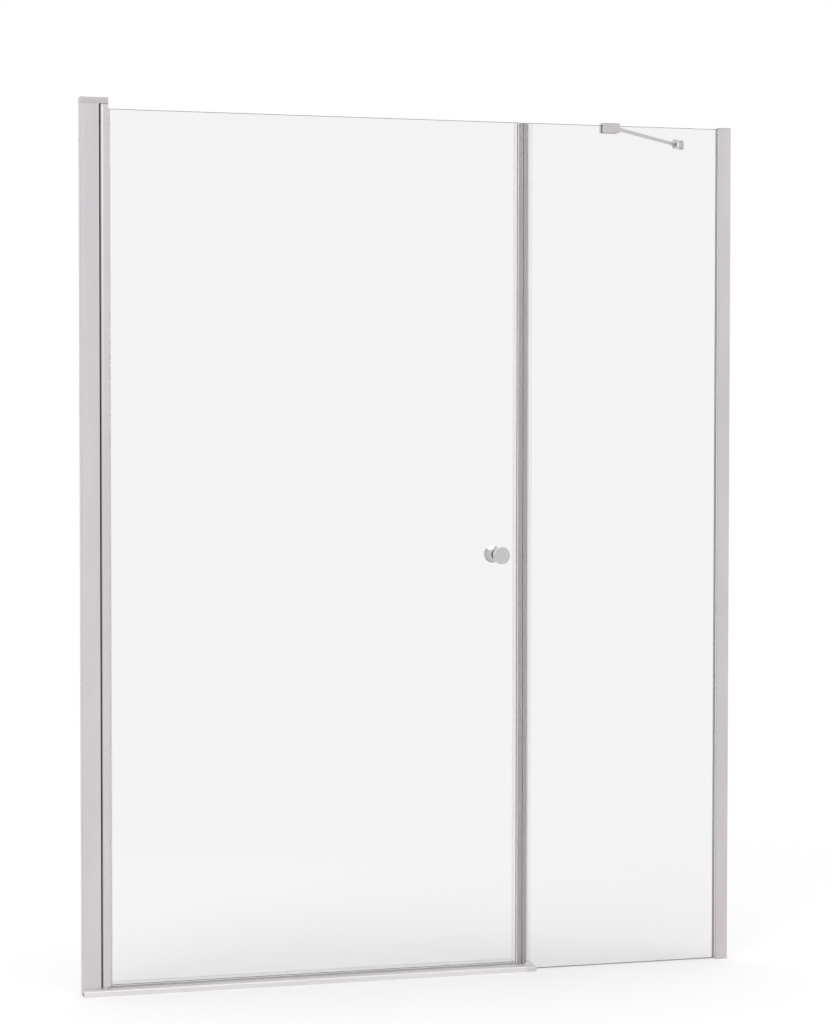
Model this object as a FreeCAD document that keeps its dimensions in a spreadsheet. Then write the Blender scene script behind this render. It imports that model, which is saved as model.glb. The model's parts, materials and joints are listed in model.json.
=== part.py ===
"""A pivot shower door with an in-line fixed panel, for an opening between two walls.

The frame of the part, in millimetres:
  X = 0 is the face of the wall on the pivot side, and X grows towards the fixed panel.
  Y = 0 is the outer face of the glass, and Y grows into the shower.
  Z = 0 is the level that the enclosure stands on.
"""
import FreeCAD
import Part
import math
import os
import re

import Sketcher
from FreeCAD import Placement, Rotation, Vector

doc = FreeCAD.newDocument("pivot_shower_door")

# ---------------------------------------------------------------- driving sizes
# Each size is written once, here. Lengths are in millimetres and angles in degrees.

SIZES = [
    ("opening_width", 1527.4, "face of the pivot wall to face of the far wall"),
    ("closing_line", 1020.45, "pivot wall to the line where the two magnetic strips meet"),
    ("frame_top", 1960.0, "top of the jamb and its wall channel, under the cap"),
    ("glass_below_top", 10.0, "top of the jamb down to the top edge of both panes"),
    ("glass_thickness", 8.0, "toughened glass"),
    ("glass_arris", 0.6, "small chamfer ground on every edge of a pane"),
    ("frame_proud", 10.0, "front of every profile, ahead of the outer face of the glass"),
    ("frame_depth", 28.0, "front to back of every upright profile"),
    ("edge_round", 1.0, "small radius on the outer corners of the profiles"),
    ("part_gap", 0.3, "gap between neighbours that aren't a fit"),
    ("glazing_gap", 0.05, "gap between a glazed edge, its rubber and its slot"),
    # wall channels
    ("channel_reach", 22.0, "how far the pivot-side wall channel stands out of the wall"),
    ("channel_wall", 1.8, "wall of the pivot-side wall channel"),
    ("channel_slide", 0.2, "gap each side of what slides over or in a wall channel"),
    ("wall_screw_hole", 2.5, "radius of the holes for the wall screws"),
    ("wall_screw_inset", 80.0, "floor to the lowest wall screw, and top to the highest"),
    # jamb
    ("jamb_width", 41.2, "wall to the edge of the pivot gap"),
    ("jamb_relief", 0.5, "edge of the jamb to the wall, at its tightest setting"),
    ("jamb_wall", 2.0, "wall of the jamb and of the far wall channel"),
    ("jamb_web_gap", 3.0, "end of the wall channel to the web inside the jamb"),
    ("screw_post", 8.0, "side of the square posts that the block screws bite in"),
    ("seal_groove_depth", 1.2, "groove of the pivot gap seal"),
    ("seal_groove_width", 4.0, "groove of the pivot gap seal"),
    ("seal_groove_back", 6.0, "back of the jamb to the groove of the seal"),
    ("seal_fin", 1.6, "thickness of the fin that closes the pivot gap"),
    # screws
    ("fixing_hole", 2.1, "radius of the clearance holes for fixing screws"),
    ("fixing_shank", 1.95, "radius of a fixing screw"),
    ("fixing_length", 6.5, "length of a fixing screw under its head"),
    ("fixing_inset", 13.0, "edge of a profile to the line of its fixing screws"),
    ("fixing_low", 250.0, "height of the lowest fixing screw, and top to the highest"),
    ("screw_head", 3.7, "radius of a pan head"),
    ("screw_head_height", 2.2, "height of a pan head"),
    ("screw_recess", 1.2, "radius of the drive recess in a screw head"),
    ("cap_radius", 6.0, "radius of the caps that hide the fixing screws"),
    ("cap_thickness", 3.2, "how far a screw cap stands off its profile"),
    ("cap_skin", 0.6, "thickness of a screw cap's face"),
    ("cap_rim", 1.8, "thickness of a screw cap's rim"),
    # pivots
    ("pivot_gap", 2.0, "slot between the jamb and the turning stile"),
    ("pivot_inset", 8.0, "pivot axis behind the stile's outer corner, both ways"),
    ("pin_radius", 3.0, "pivot pins"),
    ("pin_in_stile", 40.0, "length of a pivot pin inside the stile"),
    ("pin_tip_gap", 0.5, "end of a pivot pin to the end of its bush"),
    ("running_fit", 0.05, "radial clearance of a pin in its bush or port"),
    ("bush_wall", 2.0, "wall of a pivot bush"),
    ("bush_seat_fit", 0.02, "radial clearance of a bush in its block"),
    ("bush_length", 9.0, "length of a pivot bush in its block"),
    ("thrust_flange", 1.0, "flange of the lower bush, which carries the door"),
    ("thrust_reach", 2.4, "how far that flange stands out of the bush"),
    ("end_play", 0.4, "gap at each end of the stile"),
    ("lower_block_height", 14.0, "lower pivot block, from the floor"),
    ("top_cap_height", 14.0, "upper pivot block, which also caps the jamb"),
    ("spigot_length", 12.0, "tongue of a block or plug inside its profile"),
    ("block_hole", 2.2, "radius of the screw holes in a pivot block"),
    ("block_shank", 1.7, "radius of the screws that hold a pivot block"),
    ("block_port", 1.75, "radius of the ports that those screws bite in"),
    ("block_screw_grip", 20.0, "length of those screws inside the jamb"),
    ("block_head", 2.6, "radius of the heads of those screws"),
    ("head_sink", 2.4, "depth of the counterbores over those screws"),
    # stile
    ("stile_width", 18.85, "pivot gap to the visible edge on the glass"),
    ("stile_wall", 1.8, "walls of the stile and of the panel's edge profile"),
    ("stile_slot", 6.2, "depth of the slot for the door glass"),
    ("plug_thickness", 2.0, "end plates of the stile"),
    ("grub_radius", 2.0, "grub screws that lock the pivot pins"),
    ("grub_inset", 25.0, "end of the stile to its grub screw"),
    # glazing rubber
    ("rubber", 1.5, "thickness of the glazing rubber beside the glass"),
    ("rubber_web", 0.5, "thickness of the rubber under a pane's edge"),
    ("rubber_lip", 5.5, "clear lip that shows beside the stile"),
    ("rubber_lip_edge", 0.7, "thickness of that lip at its edge"),
    ("panel_lip", 1.5, "rubber lip that shows beside the far channel"),
    # magnetic strips and drip seal
    ("strip_gap", 0.6, "gap between the closed magnetic strips"),
    ("strip_head", 12.6, "width of a strip's head, glass edge to meeting face"),
    ("strip_leg", 9.0, "how far a clear clip grips the glass"),
    ("strip_skin", 1.2, "thickness of a clear clip"),
    ("strip_root", 1.4, "glass edge to the magnet in a strip's head"),
    ("strip_front_skin", 0.9, "clear skin around the magnet"),
    ("strip_round", 1.5, "corner radius of a strip's head"),
    ("strip_bottom", 14.0, "lower end of the strips, just above the rail"),
    ("magnet_inset", 0.5, "end of a strip to the end of its magnet"),
    ("door_glass_bottom", 18.7, "lower edge of the door glass"),
    ("drip_leg", 8.0, "how far the drip seal grips the glass"),
    ("drip_floor_gap", 0.4, "drip seal to the top of the rail"),
    ("drip_fin", 1.2, "thickness of the drip seal's fins"),
    ("drip_fin_setback", 2.2, "outer face of the glass to the upright fin"),
    ("deflector_reach", 3.2, "how far the sloping fin stands behind the clip"),
    # rail
    ("rail_proud", 28.8, "front of the rail, ahead of the outer face of the glass"),
    ("rail_behind", 20.0, "back of the rail, behind the outer face of the glass"),
    ("rail_front_height", 12.5, "rail at its front edge"),
    ("rail_height", 13.0, "rail under the glass"),
    ("rail_nose", 3.5, "radius of the rail's front edge"),
    ("rail_wall", 2.0, "walls of the rail"),
    ("dam_height", 1.8, "water bar on the rail, behind the door"),
    ("dam_width", 2.2, "width of the water bar"),
    ("dam_setback", 13.4, "outer face of the glass to the water bar"),
    ("rail_end_gap", 3.3, "meeting line of the strips to the end of the rail"),
    ("end_cap_length", 23.2, "rail's end cap, along the rail"),
    ("end_cap_arch", 19.4, "height of the arch on the end cap"),
    ("end_cap_arch_radius", 11.4, "radius of that arch"),
    ("end_cap_arch_depth", 11.0, "front to back of that arch"),
    ("end_cap_clear", 1.7, "back of the end cap's front part to the face of the glass"),
    ("end_cap_spigot", 8.0, "tongues of the end cap inside the rail"),
    # panel
    ("panel_glass_bottom", 1.2, "lower edge of the fixed pane"),
    ("sill_seal_inset", 0.5, "face of the pane to its sill seal"),
    ("far_channel_width", 28.5, "visible width of the far wall channel"),
    ("edge_profile_inset", 1.0, "mouth of the far channel to the edge profile"),
    ("panel_slot", 12.0, "depth of the slot for the fixed pane"),
    ("edge_profile_play", 0.4, "edge profile to the web of the far channel"),
    ("far_cap_height", 2.7, "cap on the far channel"),
    # knob
    ("knob_from_line", 61.0, "meeting line of the strips to the knob"),
    ("knob_height", 961.0, "height of the knob"),
    ("knob_reach", 35.5, "glass to the face of a knob"),
    ("knob_face", 19.8, "radius of a knob's face"),
    ("knob_base", 11.5, "radius of a knob's foot"),
    ("knob_rim", 4.5, "width of the straight rim behind a knob's face"),
    ("knob_rim_round", 1.5, "radius of the edge of a knob's face"),
    ("knob_sweep", 30.0, "radius of the hollow side of a knob"),
    ("knob_washer", 1.2, "clear washers under the knobs"),
    ("knob_glass_hole", 6.0, "radius of the hole in the glass"),
    ("knob_stud", 3.0, "radius of the stud through the glass"),
    ("knob_stud_depth", 12.0, "length of the stud inside a knob"),
    ("knob_sleeve_gap", 0.2, "washer's sleeve to the hole in the glass"),
    ("knob_grub", 1.5, "radius of the grub screw in the inner knob"),
    ("knob_grub_setback", 6.0, "foot of the inner knob to its grub screw"),
    ("knob_grub_sink", 2.0, "how far that screw is sunk below the knob's foot"),
    # brace
    ("clamp_from_wall", 276.0, "far wall to the near edge of the glass clamp"),
    ("clamp_width", 40.0, "glass clamp, along the pane"),
    ("clamp_height", 23.0, "glass clamp, top to bottom"),
    ("clamp_over_glass", 6.0, "top of the glass clamp above the pane"),
    ("clamp_front", 12.0, "front of the glass clamp, ahead of the glass"),
    ("clamp_back", 14.0, "back of the glass clamp, behind the glass"),
    ("clamp_pad", 1.2, "pads between the clamp and the glass"),
    ("clamp_pad_inset", 2.0, "edge of the clamp to its pads"),
    ("clamp_round", 1.5, "rounding of the clamp's outer edges"),
    ("clamp_screw", 3.0, "radius of the clamp's grub screw"),
    ("swivel_from_clamp", 2.5, "end of the clamp to its swivel's axis"),
    ("swivel_behind", 8.0, "back of the glass to the swivel's axis"),
    ("swivel_radius", 5.8, "barrel of a swivel"),
    ("swivel_rise", 0.4, "barrel of a swivel above and below its socket"),
    ("swivel_gap", 0.2, "swivel to the ears that hold it"),
    ("ear_thickness", 3.5, "ears that hold a swivel"),
    ("socket_radius", 5.6, "outside of the sockets at the bar's ends"),
    ("socket_length", 19.0, "swivel's axis to the mouth of its socket"),
    ("bar_radius", 4.5, "brace bar"),
    ("bar_setback", 7.3, "swivel's axis to the end of the bar"),
    ("brace_angle", 48.0, "bar's angle to the pane, in degrees"),
    ("swivel_screw", 2.0, "radius of the screws through the swivels"),
    ("bar_grub", 1.5, "radius of the grub screws that lock the bar"),
    ("bar_grub_setback", 14.0, "swivel's axis to the bar's grub screw"),
    ("flange_width", 25.0, "wall flange, along the wall"),
    ("flange_height", 22.0, "wall flange, top to bottom"),
    ("flange_drop", 1.5, "middle of the wall flange below the bar"),
    ("flange_thickness", 3.0, "wall flange"),
    ("flange_round", 3.0, "corners of the wall flange"),
    ("flange_stand", 15.5, "face of the wall flange to its swivel's axis"),
    ("flange_screw_pitch", 18.0, "between the two wall screws of the flange"),
    ("flange_screw_hole", 2.25, "radius of the wall screw holes in the flange"),
]

# Places worked out from the driving sizes.
LAYOUT = [
    ("front", "-frame_proud"),
    ("back", "frame_depth - frame_proud"),
    ("mid_depth", "frame_depth / 2 - frame_proud"),
    ("channel_front", "front + jamb_wall + channel_slide"),
    ("channel_back", "back - jamb_wall - channel_slide"),
    ("glass_top", "frame_top - glass_below_top"),
    ("mid_height", "frame_top / 2"),
    ("outer_screw_pitch", "frame_top - 2 * wall_screw_inset"),
    ("inner_screw_pitch", "outer_screw_pitch / 3"),
    ("web_left", "channel_reach + jamb_web_gap"),
    ("web_right", "web_left + jamb_wall"),
    ("chamber_right", "jamb_width - jamb_wall"),
    ("chamber_front", "front + jamb_wall"),
    ("chamber_back", "back - jamb_wall"),
    ("post_near_x", "web_right + screw_post / 2"),
    ("post_near_y", "chamber_back - screw_post / 2"),
    ("post_far_x", "chamber_right - screw_post / 2"),
    ("post_far_y", "chamber_front + screw_post / 2"),
    ("groove_rear", "back - seal_groove_back"),
    ("groove_fore", "groove_rear - seal_groove_width"),
    ("stile_left", "jamb_width + pivot_gap"),
    ("stile_right", "stile_left + stile_width"),
    ("pivot_x", "stile_left + pivot_inset"),
    ("pivot_y", "front + pivot_inset"),
    ("stile_bottom", "lower_block_height + thrust_flange + end_play"),
    ("stile_top", "frame_top - end_play"),
    ("port_radius", "pin_radius + running_fit"),
    ("bush_radius", "pin_radius + running_fit + bush_wall"),
    ("slot_front", "-rubber - glazing_gap"),
    ("slot_back", "glass_thickness + rubber + glazing_gap"),
    ("stile_slot_left", "stile_right - stile_slot"),
    ("door_glass_left", "stile_slot_left + rubber_web + 2 * glazing_gap"),
    ("door_meet", "closing_line - strip_gap / 2"),
    ("panel_meet", "closing_line + strip_gap / 2"),
    ("door_glass_right", "door_meet - strip_head - glazing_gap"),
    ("panel_glass_left", "panel_meet + strip_head + glazing_gap"),
    ("clip_front", "-glazing_gap - strip_skin"),
    ("clip_back", "glass_thickness + glazing_gap + strip_skin"),
    ("lip_right", "stile_right + rubber_lip"),
    ("rail_front", "-rail_proud"),
    ("rail_end", "closing_line + rail_end_gap"),
    ("end_cap_right", "rail_end + end_cap_length"),
    ("rail_chamber_split", "front + 8"),
    ("far_left", "opening_width - far_channel_width"),
    ("edge_left", "far_left + edge_profile_inset"),
    ("edge_right", "opening_width - jamb_wall - edge_profile_play"),
    ("panel_slot_right", "edge_left + panel_slot"),
    ("panel_glass_right", "panel_slot_right - rubber_web - 2 * glazing_gap"),
    ("far_fixing_x", "far_left + fixing_inset"),
    ("knob_x", "closing_line - knob_from_line"),
    ("clamp_right", "opening_width - clamp_from_wall"),
    ("clamp_left", "clamp_right - clamp_width"),
    ("clamp_top", "glass_top + clamp_over_glass"),
    ("clamp_bottom", "clamp_top - clamp_height"),
    ("brace_z", "clamp_bottom + clamp_height / 2"),
    ("near_swivel_x", "clamp_right + swivel_from_clamp"),
    ("near_swivel_y", "glass_thickness + swivel_behind"),
    ("wall_swivel_x", "opening_width - flange_thickness - flange_stand"),
    ("brace_run", "wall_swivel_x - near_swivel_x"),
    ("wall_swivel_y", "near_swivel_y + brace_run * tan(brace_angle * 1 deg)"),
    ("brace_length", "brace_run / cos(brace_angle * 1 deg)"),
    ("swivel_half", "socket_radius + swivel_rise"),
    ("ear_inner", "swivel_half + swivel_gap"),
    ("ear_outer", "ear_inner + ear_thickness"),
]

sheet = doc.addObject("Spreadsheet::Sheet", "Size")
places = doc.addObject("Spreadsheet::Sheet", "Place")
home = {}


def full(words):
    """The expression with the name of its sheet in front of each alias."""
    return re.sub(
        r"[a-z]+(?:_[a-z]+)*",
        lambda found: f"{home[found[0]]}.{found[0]}" if found[0] in home else found[0],
        str(words),
    )


for row, (alias, value, meaning) in enumerate(SIZES, 1):
    sheet.set(f"A{row}", meaning)
    sheet.set(f"B{row}", str(value))
    sheet.setAlias(f"B{row}", alias)
    home[alias] = "Size"
for row, (alias, words) in enumerate(LAYOUT, 1):
    places.set(f"A{row}", "=" + full(words))
    places.setAlias(f"A{row}", alias)
    home[alias] = "Place"
doc.recompute()


def number(words):
    """What an expression is worth now, as a first guess for a sketch."""
    return float(sheet.evalExpression(full(words)))


# ---------------------------------------------------------------- builders

UP = Rotation()
ALONG = {"x": Rotation(Vector(0, 1, 0), 90), "y": Rotation(Vector(1, 0, 0), -90), "z": UP}
PARTS = {}


def bind(thing, **sizes):
    """Ties properties of an object to expressions, with __ for the dots in their names."""
    for name, words in sizes.items():
        thing.setExpression(name.replace("__", "."), full(words))


def put(thing, x=0, y=0, z=0):
    """Ties the place of an object's own origin."""
    bind(thing, Placement__Base__x=x, Placement__Base__y=y, Placement__Base__z=z)


def keep(name, thing):
    """Gives a finished sub-part its name, which also names its file."""
    thing.Label = name
    PARTS[name] = thing
    return thing


def box(name, x, y, z):
    """A block between two places on each axis."""
    thing = doc.addObject("Part::Box", name)
    bind(thing, Length=f"({x[1]}) - ({x[0]})")
    bind(thing, Width=f"({y[1]}) - ({y[0]})")
    bind(thing, Height=f"({z[1]}) - ({z[0]})")
    put(thing, x[0], y[0], z[0])
    return thing


def rod(name, radius, along, x, y, z, length):
    """A cylinder that starts at a place and runs along an axis."""
    thing = doc.addObject("Part::Cylinder", name)
    thing.Placement = Placement(Vector(), ALONG[along])
    bind(thing, Radius=radius, Height=length)
    put(thing, x, y, z)
    return thing


def joined(name, pieces):
    """One solid, or one group, made of several."""
    thing = doc.addObject("Part::MultiFuse", name)
    thing.Shapes = pieces
    return thing


def cut(name, base, tools):
    """A piece with the tools taken out of it."""
    thing = doc.addObject("Part::Cut", name)
    thing.Base = base
    thing.Tool = tools[0] if len(tools) == 1 else joined(name + "_tools", tools)
    return thing


def group(name, pieces):
    """Separate solids that share one name, such as a set of screws."""
    thing = doc.addObject("Part::Compound", name)
    thing.Links = pieces
    return thing


def arc_edge(start, end, radius, bend):
    """The short arc from start to end whose centre lies to the left or to the right."""
    middle = (start + end) / 2
    chord = end - start
    side = 1 if bend == "left" else -1
    across = Vector(-chord.y, chord.x, 0) / chord.Length * side
    height = math.sqrt(max(radius**2 - (chord.Length / 2) ** 2, 0))
    centre = middle + across * height
    first, last = (start, end) if bend == "left" else (end, start)
    angles = [math.atan2(p.y - centre.y, p.x - centre.x) for p in (first, last)]
    circle = Part.Circle(centre, Vector(0, 0, 1), radius)
    return Part.ArcOfCircle(circle, angles[0], angles[1])


def tie(sketch, kind, words, *geometry):
    """Adds a dimension and binds it to an expression."""
    index = sketch.addConstraint(Sketcher.Constraint(kind, *geometry, number(words)))
    sketch.setExpression(f"Constraints[{index}]", full(words))


def draw_loop(sketch, corners):
    """A closed outline. A corner is (across, up), and an arc to the next corner adds its
    radius and the side that its centre lies on, seen along the outline."""
    points = [Vector(number(c[0]), number(c[1]), 0) for c in corners]
    edges = []
    for i, corner in enumerate(corners):
        ends = points[i], points[(i + 1) % len(points)]
        if len(corner) == 4:
            shape = arc_edge(*ends, number(corner[2]), corner[3])
            start_end = (1, 2) if corner[3] == "left" else (2, 1)
        else:
            shape = Part.LineSegment(*ends)
            start_end = (1, 2)
        edges.append((sketch.addGeometry(shape, False), *start_end))
    for i, (edge, start, end) in enumerate(edges):
        after = edges[(i + 1) % len(edges)]
        sketch.addConstraint(Sketcher.Constraint("Coincident", edge, end, after[0], after[1]))
        tie(sketch, "DistanceX", corners[i][0], -1, 1, edge, start)
        tie(sketch, "DistanceY", corners[i][1], -1, 1, edge, start)
        if len(corners[i]) == 4:
            tie(sketch, "Radius", corners[i][2], edge)


def draw_circle(sketch, across, up, radius):
    """A round hole in an outline."""
    circle = Part.Circle(Vector(number(across), number(up), 0), Vector(0, 0, 1), number(radius))
    edge = sketch.addGeometry(circle, False)
    tie(sketch, "DistanceX", across, -1, 1, edge, 3)
    tie(sketch, "DistanceY", up, -1, 1, edge, 3)
    tie(sketch, "Radius", radius, edge)


def new_sketch(body, plane, loops=(), circles=()):
    """A sketch on one of the body's own planes."""
    sketch = body.newObject("Sketcher::SketchObject", body.Name + "_sketch")
    support = [p for p in body.Origin.OriginFeatures if p.Role == plane][0]
    sketch.AttachmentSupport = [(support, "")]
    sketch.MapMode = "FlatFace"
    for corners in loops:
        draw_loop(sketch, corners)
    for circle in circles:
        draw_circle(sketch, *circle)
    return sketch


def profile(name, loops, low, high, circles=(), plane="XY_Plane"):
    """An extrusion cut to length: upright, or along X where its outline is in (Y, Z)."""
    body = doc.addObject("PartDesign::Body", name)
    sketch = new_sketch(body, plane, loops, circles)
    pad = body.newObject("PartDesign::Pad", name + "_pad")
    pad.Profile = sketch
    bind(pad, Length=f"({high}) - ({low})")
    if plane == "XY_Plane":
        put(body, z=low)
    else:
        put(body, x=low)
    sketch.Visibility = False
    return body


def turned(name, corners, x, y, z, plane="XZ_Plane"):
    """A turned piece: an outline of (radius, height) about its own upright axis, or about
    an axis along Y where it is drawn on the XY plane."""
    body = doc.addObject("PartDesign::Body", name)
    sketch = new_sketch(body, plane, [corners])
    revolution = body.newObject("PartDesign::Revolution", name + "_turn")
    revolution.Profile = sketch
    revolution.ReferenceAxis = (sketch, ["V_Axis"])
    revolution.Angle = 360
    put(body, x, y, z)
    return body


def rectangle(x0, x1, y0, y1):
    """The four corners of a plain outline."""
    return [(x0, y0), (x1, y0), (x1, y1), (x0, y1)]


def pan_screw(name, axis, x, y, z, shank, length, toward, head="screw_head"):
    """A pan-head screw with a drive recess. Its head sits at the place given, outside,
    and its shank runs inwards: toward is 1 where the head faces the axis's far end."""
    spot = {"x": x, "y": y, "z": z}
    seat = spot[axis]

    def at(offset):
        return {**spot, axis: f"({seat}) + ({offset})"}

    low, high = ("0", "screw_head_height") if toward > 0 else ("-screw_head_height", "0")
    shank_low = f"-({length})" if toward > 0 else "0"
    recess = "screw_head_height / 2" if toward > 0 else "-screw_head_height"
    top = rod(name + "_head", head, axis, length=f"({high}) - ({low})", **at(low))
    stem = rod(name + "_shank", shank, axis, length=length, **at(shank_low))
    drive = rod(name + "_drive", "screw_recess", axis, length="screw_head_height / 2", **at(recess))
    return cut(name, joined(name + "_blank", [top, stem]), [drive])


# ---------------------------------------------------------------- pivot-side frame


def wall_screw_holes(name, x):
    """Four holes in line up a channel's web, at the same heights on both walls."""
    holes = []
    for pitch in ("outer_screw_pitch", "inner_screw_pitch"):
        for side in ("+", "-"):
            hole = rod(
                f"{name}_{pitch}_{'up' if side == '+' else 'down'}",
                "wall_screw_hole",
                "x",
                f"({x}) - 1",
                "mid_depth",
                f"mid_height {side} {pitch} / 2",
                "jamb_wall + 2",
            )
            holes.append(hole)
    return holes


def fixing_heights(top):
    """The heights of the three fixing screws of one upright."""
    return {"low": "fixing_low", "mid": f"{top} / 2", "high": f"{top} - fixing_low"}


def fixing_holes(name, x, top):
    """Clearance holes for the fixing screws, through every leg that they hold."""
    return [
        rod(f"{name}_{level}", "fixing_hole", "y", x, "back - fixing_length", z, "fixing_length + 1")
        for level, z in fixing_heights(top).items()
    ]


def fixing_set(name, cap_name, x, top):
    """The fixing screws of one upright, and the round caps that hide them."""
    screws = [
        pan_screw(f"{name}_{level}", "y", x, "back", z, "fixing_shank", "fixing_length", 1)
        for level, z in fixing_heights(top).items()
    ]
    keep(name, group(name, screws))
    shell = [
        ("cap_radius - cap_rim", 0),
        ("cap_radius", 0),
        ("cap_radius", "cap_thickness - cap_skin", "cap_skin", "left"),
        ("cap_radius - cap_skin", "cap_thickness"),
        (0, "cap_thickness"),
        (0, "cap_thickness - cap_skin"),
        ("cap_radius - cap_rim", "cap_thickness - cap_skin"),
    ]
    caps = [
        turned(f"{cap_name}_{level}", shell, x, "back", z, "XY_Plane")
        for level, z in fixing_heights(top).items()
    ]
    keep(cap_name, group(cap_name, caps))


def left_wall_channel():
    """The aluminium U that is screwed to the wall and hides inside the jamb."""
    outline = [
        (0, "channel_front"),
        ("channel_reach", "channel_front"),
        ("channel_reach", "channel_front + channel_wall"),
        ("channel_wall", "channel_front + channel_wall"),
        ("channel_wall", "channel_back - channel_wall"),
        ("channel_reach", "channel_back - channel_wall"),
        ("channel_reach", "channel_back"),
        (0, "channel_back"),
    ]
    blank = profile("left_channel_blank", [outline], 0, "frame_top")
    tools = wall_screw_holes("left_channel", 0)
    tools += fixing_holes("left_channel_fixing", "fixing_inset", "frame_top")
    keep("left_wall_channel", cut("left_wall_channel", blank, tools))


def pivot_jamb():
    """The upright that slides over the wall channel, with a closed chamber beside the
    pivot gap. Two posts in the chamber take the screws of the pivot blocks."""
    outline = [
        ("jamb_relief", "front"),
        ("jamb_width - edge_round", "front", "edge_round", "left"),
        ("jamb_width", "front + edge_round"),
        ("jamb_width", "groove_fore"),
        ("jamb_width - seal_groove_depth", "groove_fore"),
        ("jamb_width - seal_groove_depth", "groove_rear"),
        ("jamb_width", "groove_rear"),
        ("jamb_width", "back"),
        ("jamb_relief", "back"),
        ("jamb_relief", "chamber_back"),
        ("web_left", "chamber_back"),
        ("web_left", "chamber_front"),
        ("jamb_relief", "chamber_front"),
    ]
    chamber = [
        ("web_right", "chamber_front"),
        ("chamber_right - screw_post", "chamber_front"),
        ("chamber_right - screw_post", "chamber_front + screw_post"),
        ("chamber_right", "chamber_front + screw_post"),
        ("chamber_right", "chamber_back"),
        ("web_right + screw_post", "chamber_back"),
        ("web_right + screw_post", "chamber_back - screw_post"),
        ("web_right", "chamber_back - screw_post"),
    ]
    ports = [
        ("post_near_x", "post_near_y", "block_port"),
        ("post_far_x", "post_far_y", "block_port"),
    ]
    blank = profile("jamb_blank", [outline, chamber], 0, "frame_top", ports)
    notch = box(
        "jamb_notch",
        ("web_right", "jamb_width + 1"),
        ("front - 1", "back + 1"),
        ("-1", "lower_block_height"),
    )
    tools = [notch, *fixing_holes("jamb_fixing", "fixing_inset", "frame_top")]
    keep("pivot_jamb", cut("pivot_jamb", blank, tools))
    fixing_set("jamb_fixing_screws", "jamb_screw_caps", "fixing_inset", "frame_top")


def pivot_gap_seal():
    """The fin that closes the slot beside the turning stile. Its foot sits in a groove."""
    foot = "jamb_width - seal_groove_depth + glazing_gap"
    middle = "(groove_fore + groove_rear) / 2"
    outline = [
        (foot, "groove_fore + glazing_gap"),
        ("jamb_width", "groove_fore + glazing_gap"),
        ("jamb_width", f"{middle} - seal_fin / 2"),
        ("stile_left - part_gap", f"{middle} - seal_fin / 2"),
        ("stile_left - part_gap", f"{middle} + seal_fin / 2"),
        ("jamb_width", f"{middle} + seal_fin / 2"),
        ("jamb_width", "groove_rear - glazing_gap"),
        (foot, "groove_rear - glazing_gap"),
    ]
    keep("pivot_gap_seal", profile("pivot_gap_seal", [outline], "stile_bottom", "frame_top"))


def block_screws(name, seat, toward):
    """The two screws that hold a pivot block to the posts in the jamb."""
    reach = {
        1: "top_cap_height - head_sink + block_screw_grip",
        -1: "lower_block_height - head_sink + block_screw_grip",
    }[toward]
    screws = []
    for post in ("near", "far"):
        x, y = f"post_{post}_x", f"post_{post}_y"
        size = "block_shank", reach, toward, "block_head"
        screws.append(pan_screw(f"{name}_{post}", "z", x, y, seat, *size))
    keep(name, group(name, screws))


def block_screw_holes(name, low, high, sink_low, sink_high):
    """The clearance holes and counterbores for those screws."""
    tools = []
    for post in ("near", "far"):
        x, y = f"post_{post}_x", f"post_{post}_y"
        tools.append(rod(f"{name}_hole_{post}", "block_hole", "z", x, y, low, f"({high}) - ({low})"))
        sink = f"({sink_high}) - ({sink_low})"
        tools.append(rod(f"{name}_sink_{post}", "block_head + part_gap", "z", x, y, sink_low, sink))
    return tools


def spigot(name, low, high):
    """The tongue that a pivot block pushes into the jamb, between the two posts."""
    return box(
        name,
        ("web_right + part_gap", "chamber_right - part_gap"),
        ("chamber_front + screw_post + part_gap", "chamber_back - screw_post - part_gap"),
        (low, high),
    )


def rounded_plate(left, right, low, high):
    """A plate's outline in plan, with small rounds at its outer corners on the right."""
    return [
        (left, low),
        (f"({right}) - edge_round", low, "edge_round", "left"),
        (right, f"({low}) + edge_round"),
        (right, f"({high}) - edge_round", "edge_round", "left"),
        (f"({right}) - edge_round", high),
        (left, high),
    ]


def top_pivot_block():
    """The cap over the wall channel, the jamb and the stile. It holds the upper bush."""
    cap_top = "frame_top + top_cap_height"
    outline = rounded_plate(0, "stile_right", "front", "back")
    plate = profile("top_block_plate", [outline], "frame_top", cap_top)
    tongue = spigot("top_block_tongue", "frame_top - spigot_length", "frame_top")
    pivot = "pivot_x", "pivot_y"
    seat = rod("top_bush_seat", "bush_radius", "z", *pivot, "frame_top - 1", "bush_length + 1")
    sink = f"{cap_top} - head_sink"
    tools = [seat, *block_screw_holes("top_block", "frame_top - 1", cap_top, sink, f"{cap_top} + 1")]
    blank = joined("top_block_blank", [plate, tongue])
    keep("top_pivot_block", cut("top_pivot_block", blank, tools))
    block_screws("top_block_screws", sink, 1)
    bush = [
        ("port_radius", 0),
        ("bush_radius - bush_seat_fit", 0),
        ("bush_radius - bush_seat_fit", "bush_length"),
        ("port_radius", "bush_length"),
    ]
    keep("top_pivot_bush", turned("top_pivot_bush", bush, "pivot_x", "pivot_y", "frame_top"))


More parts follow.
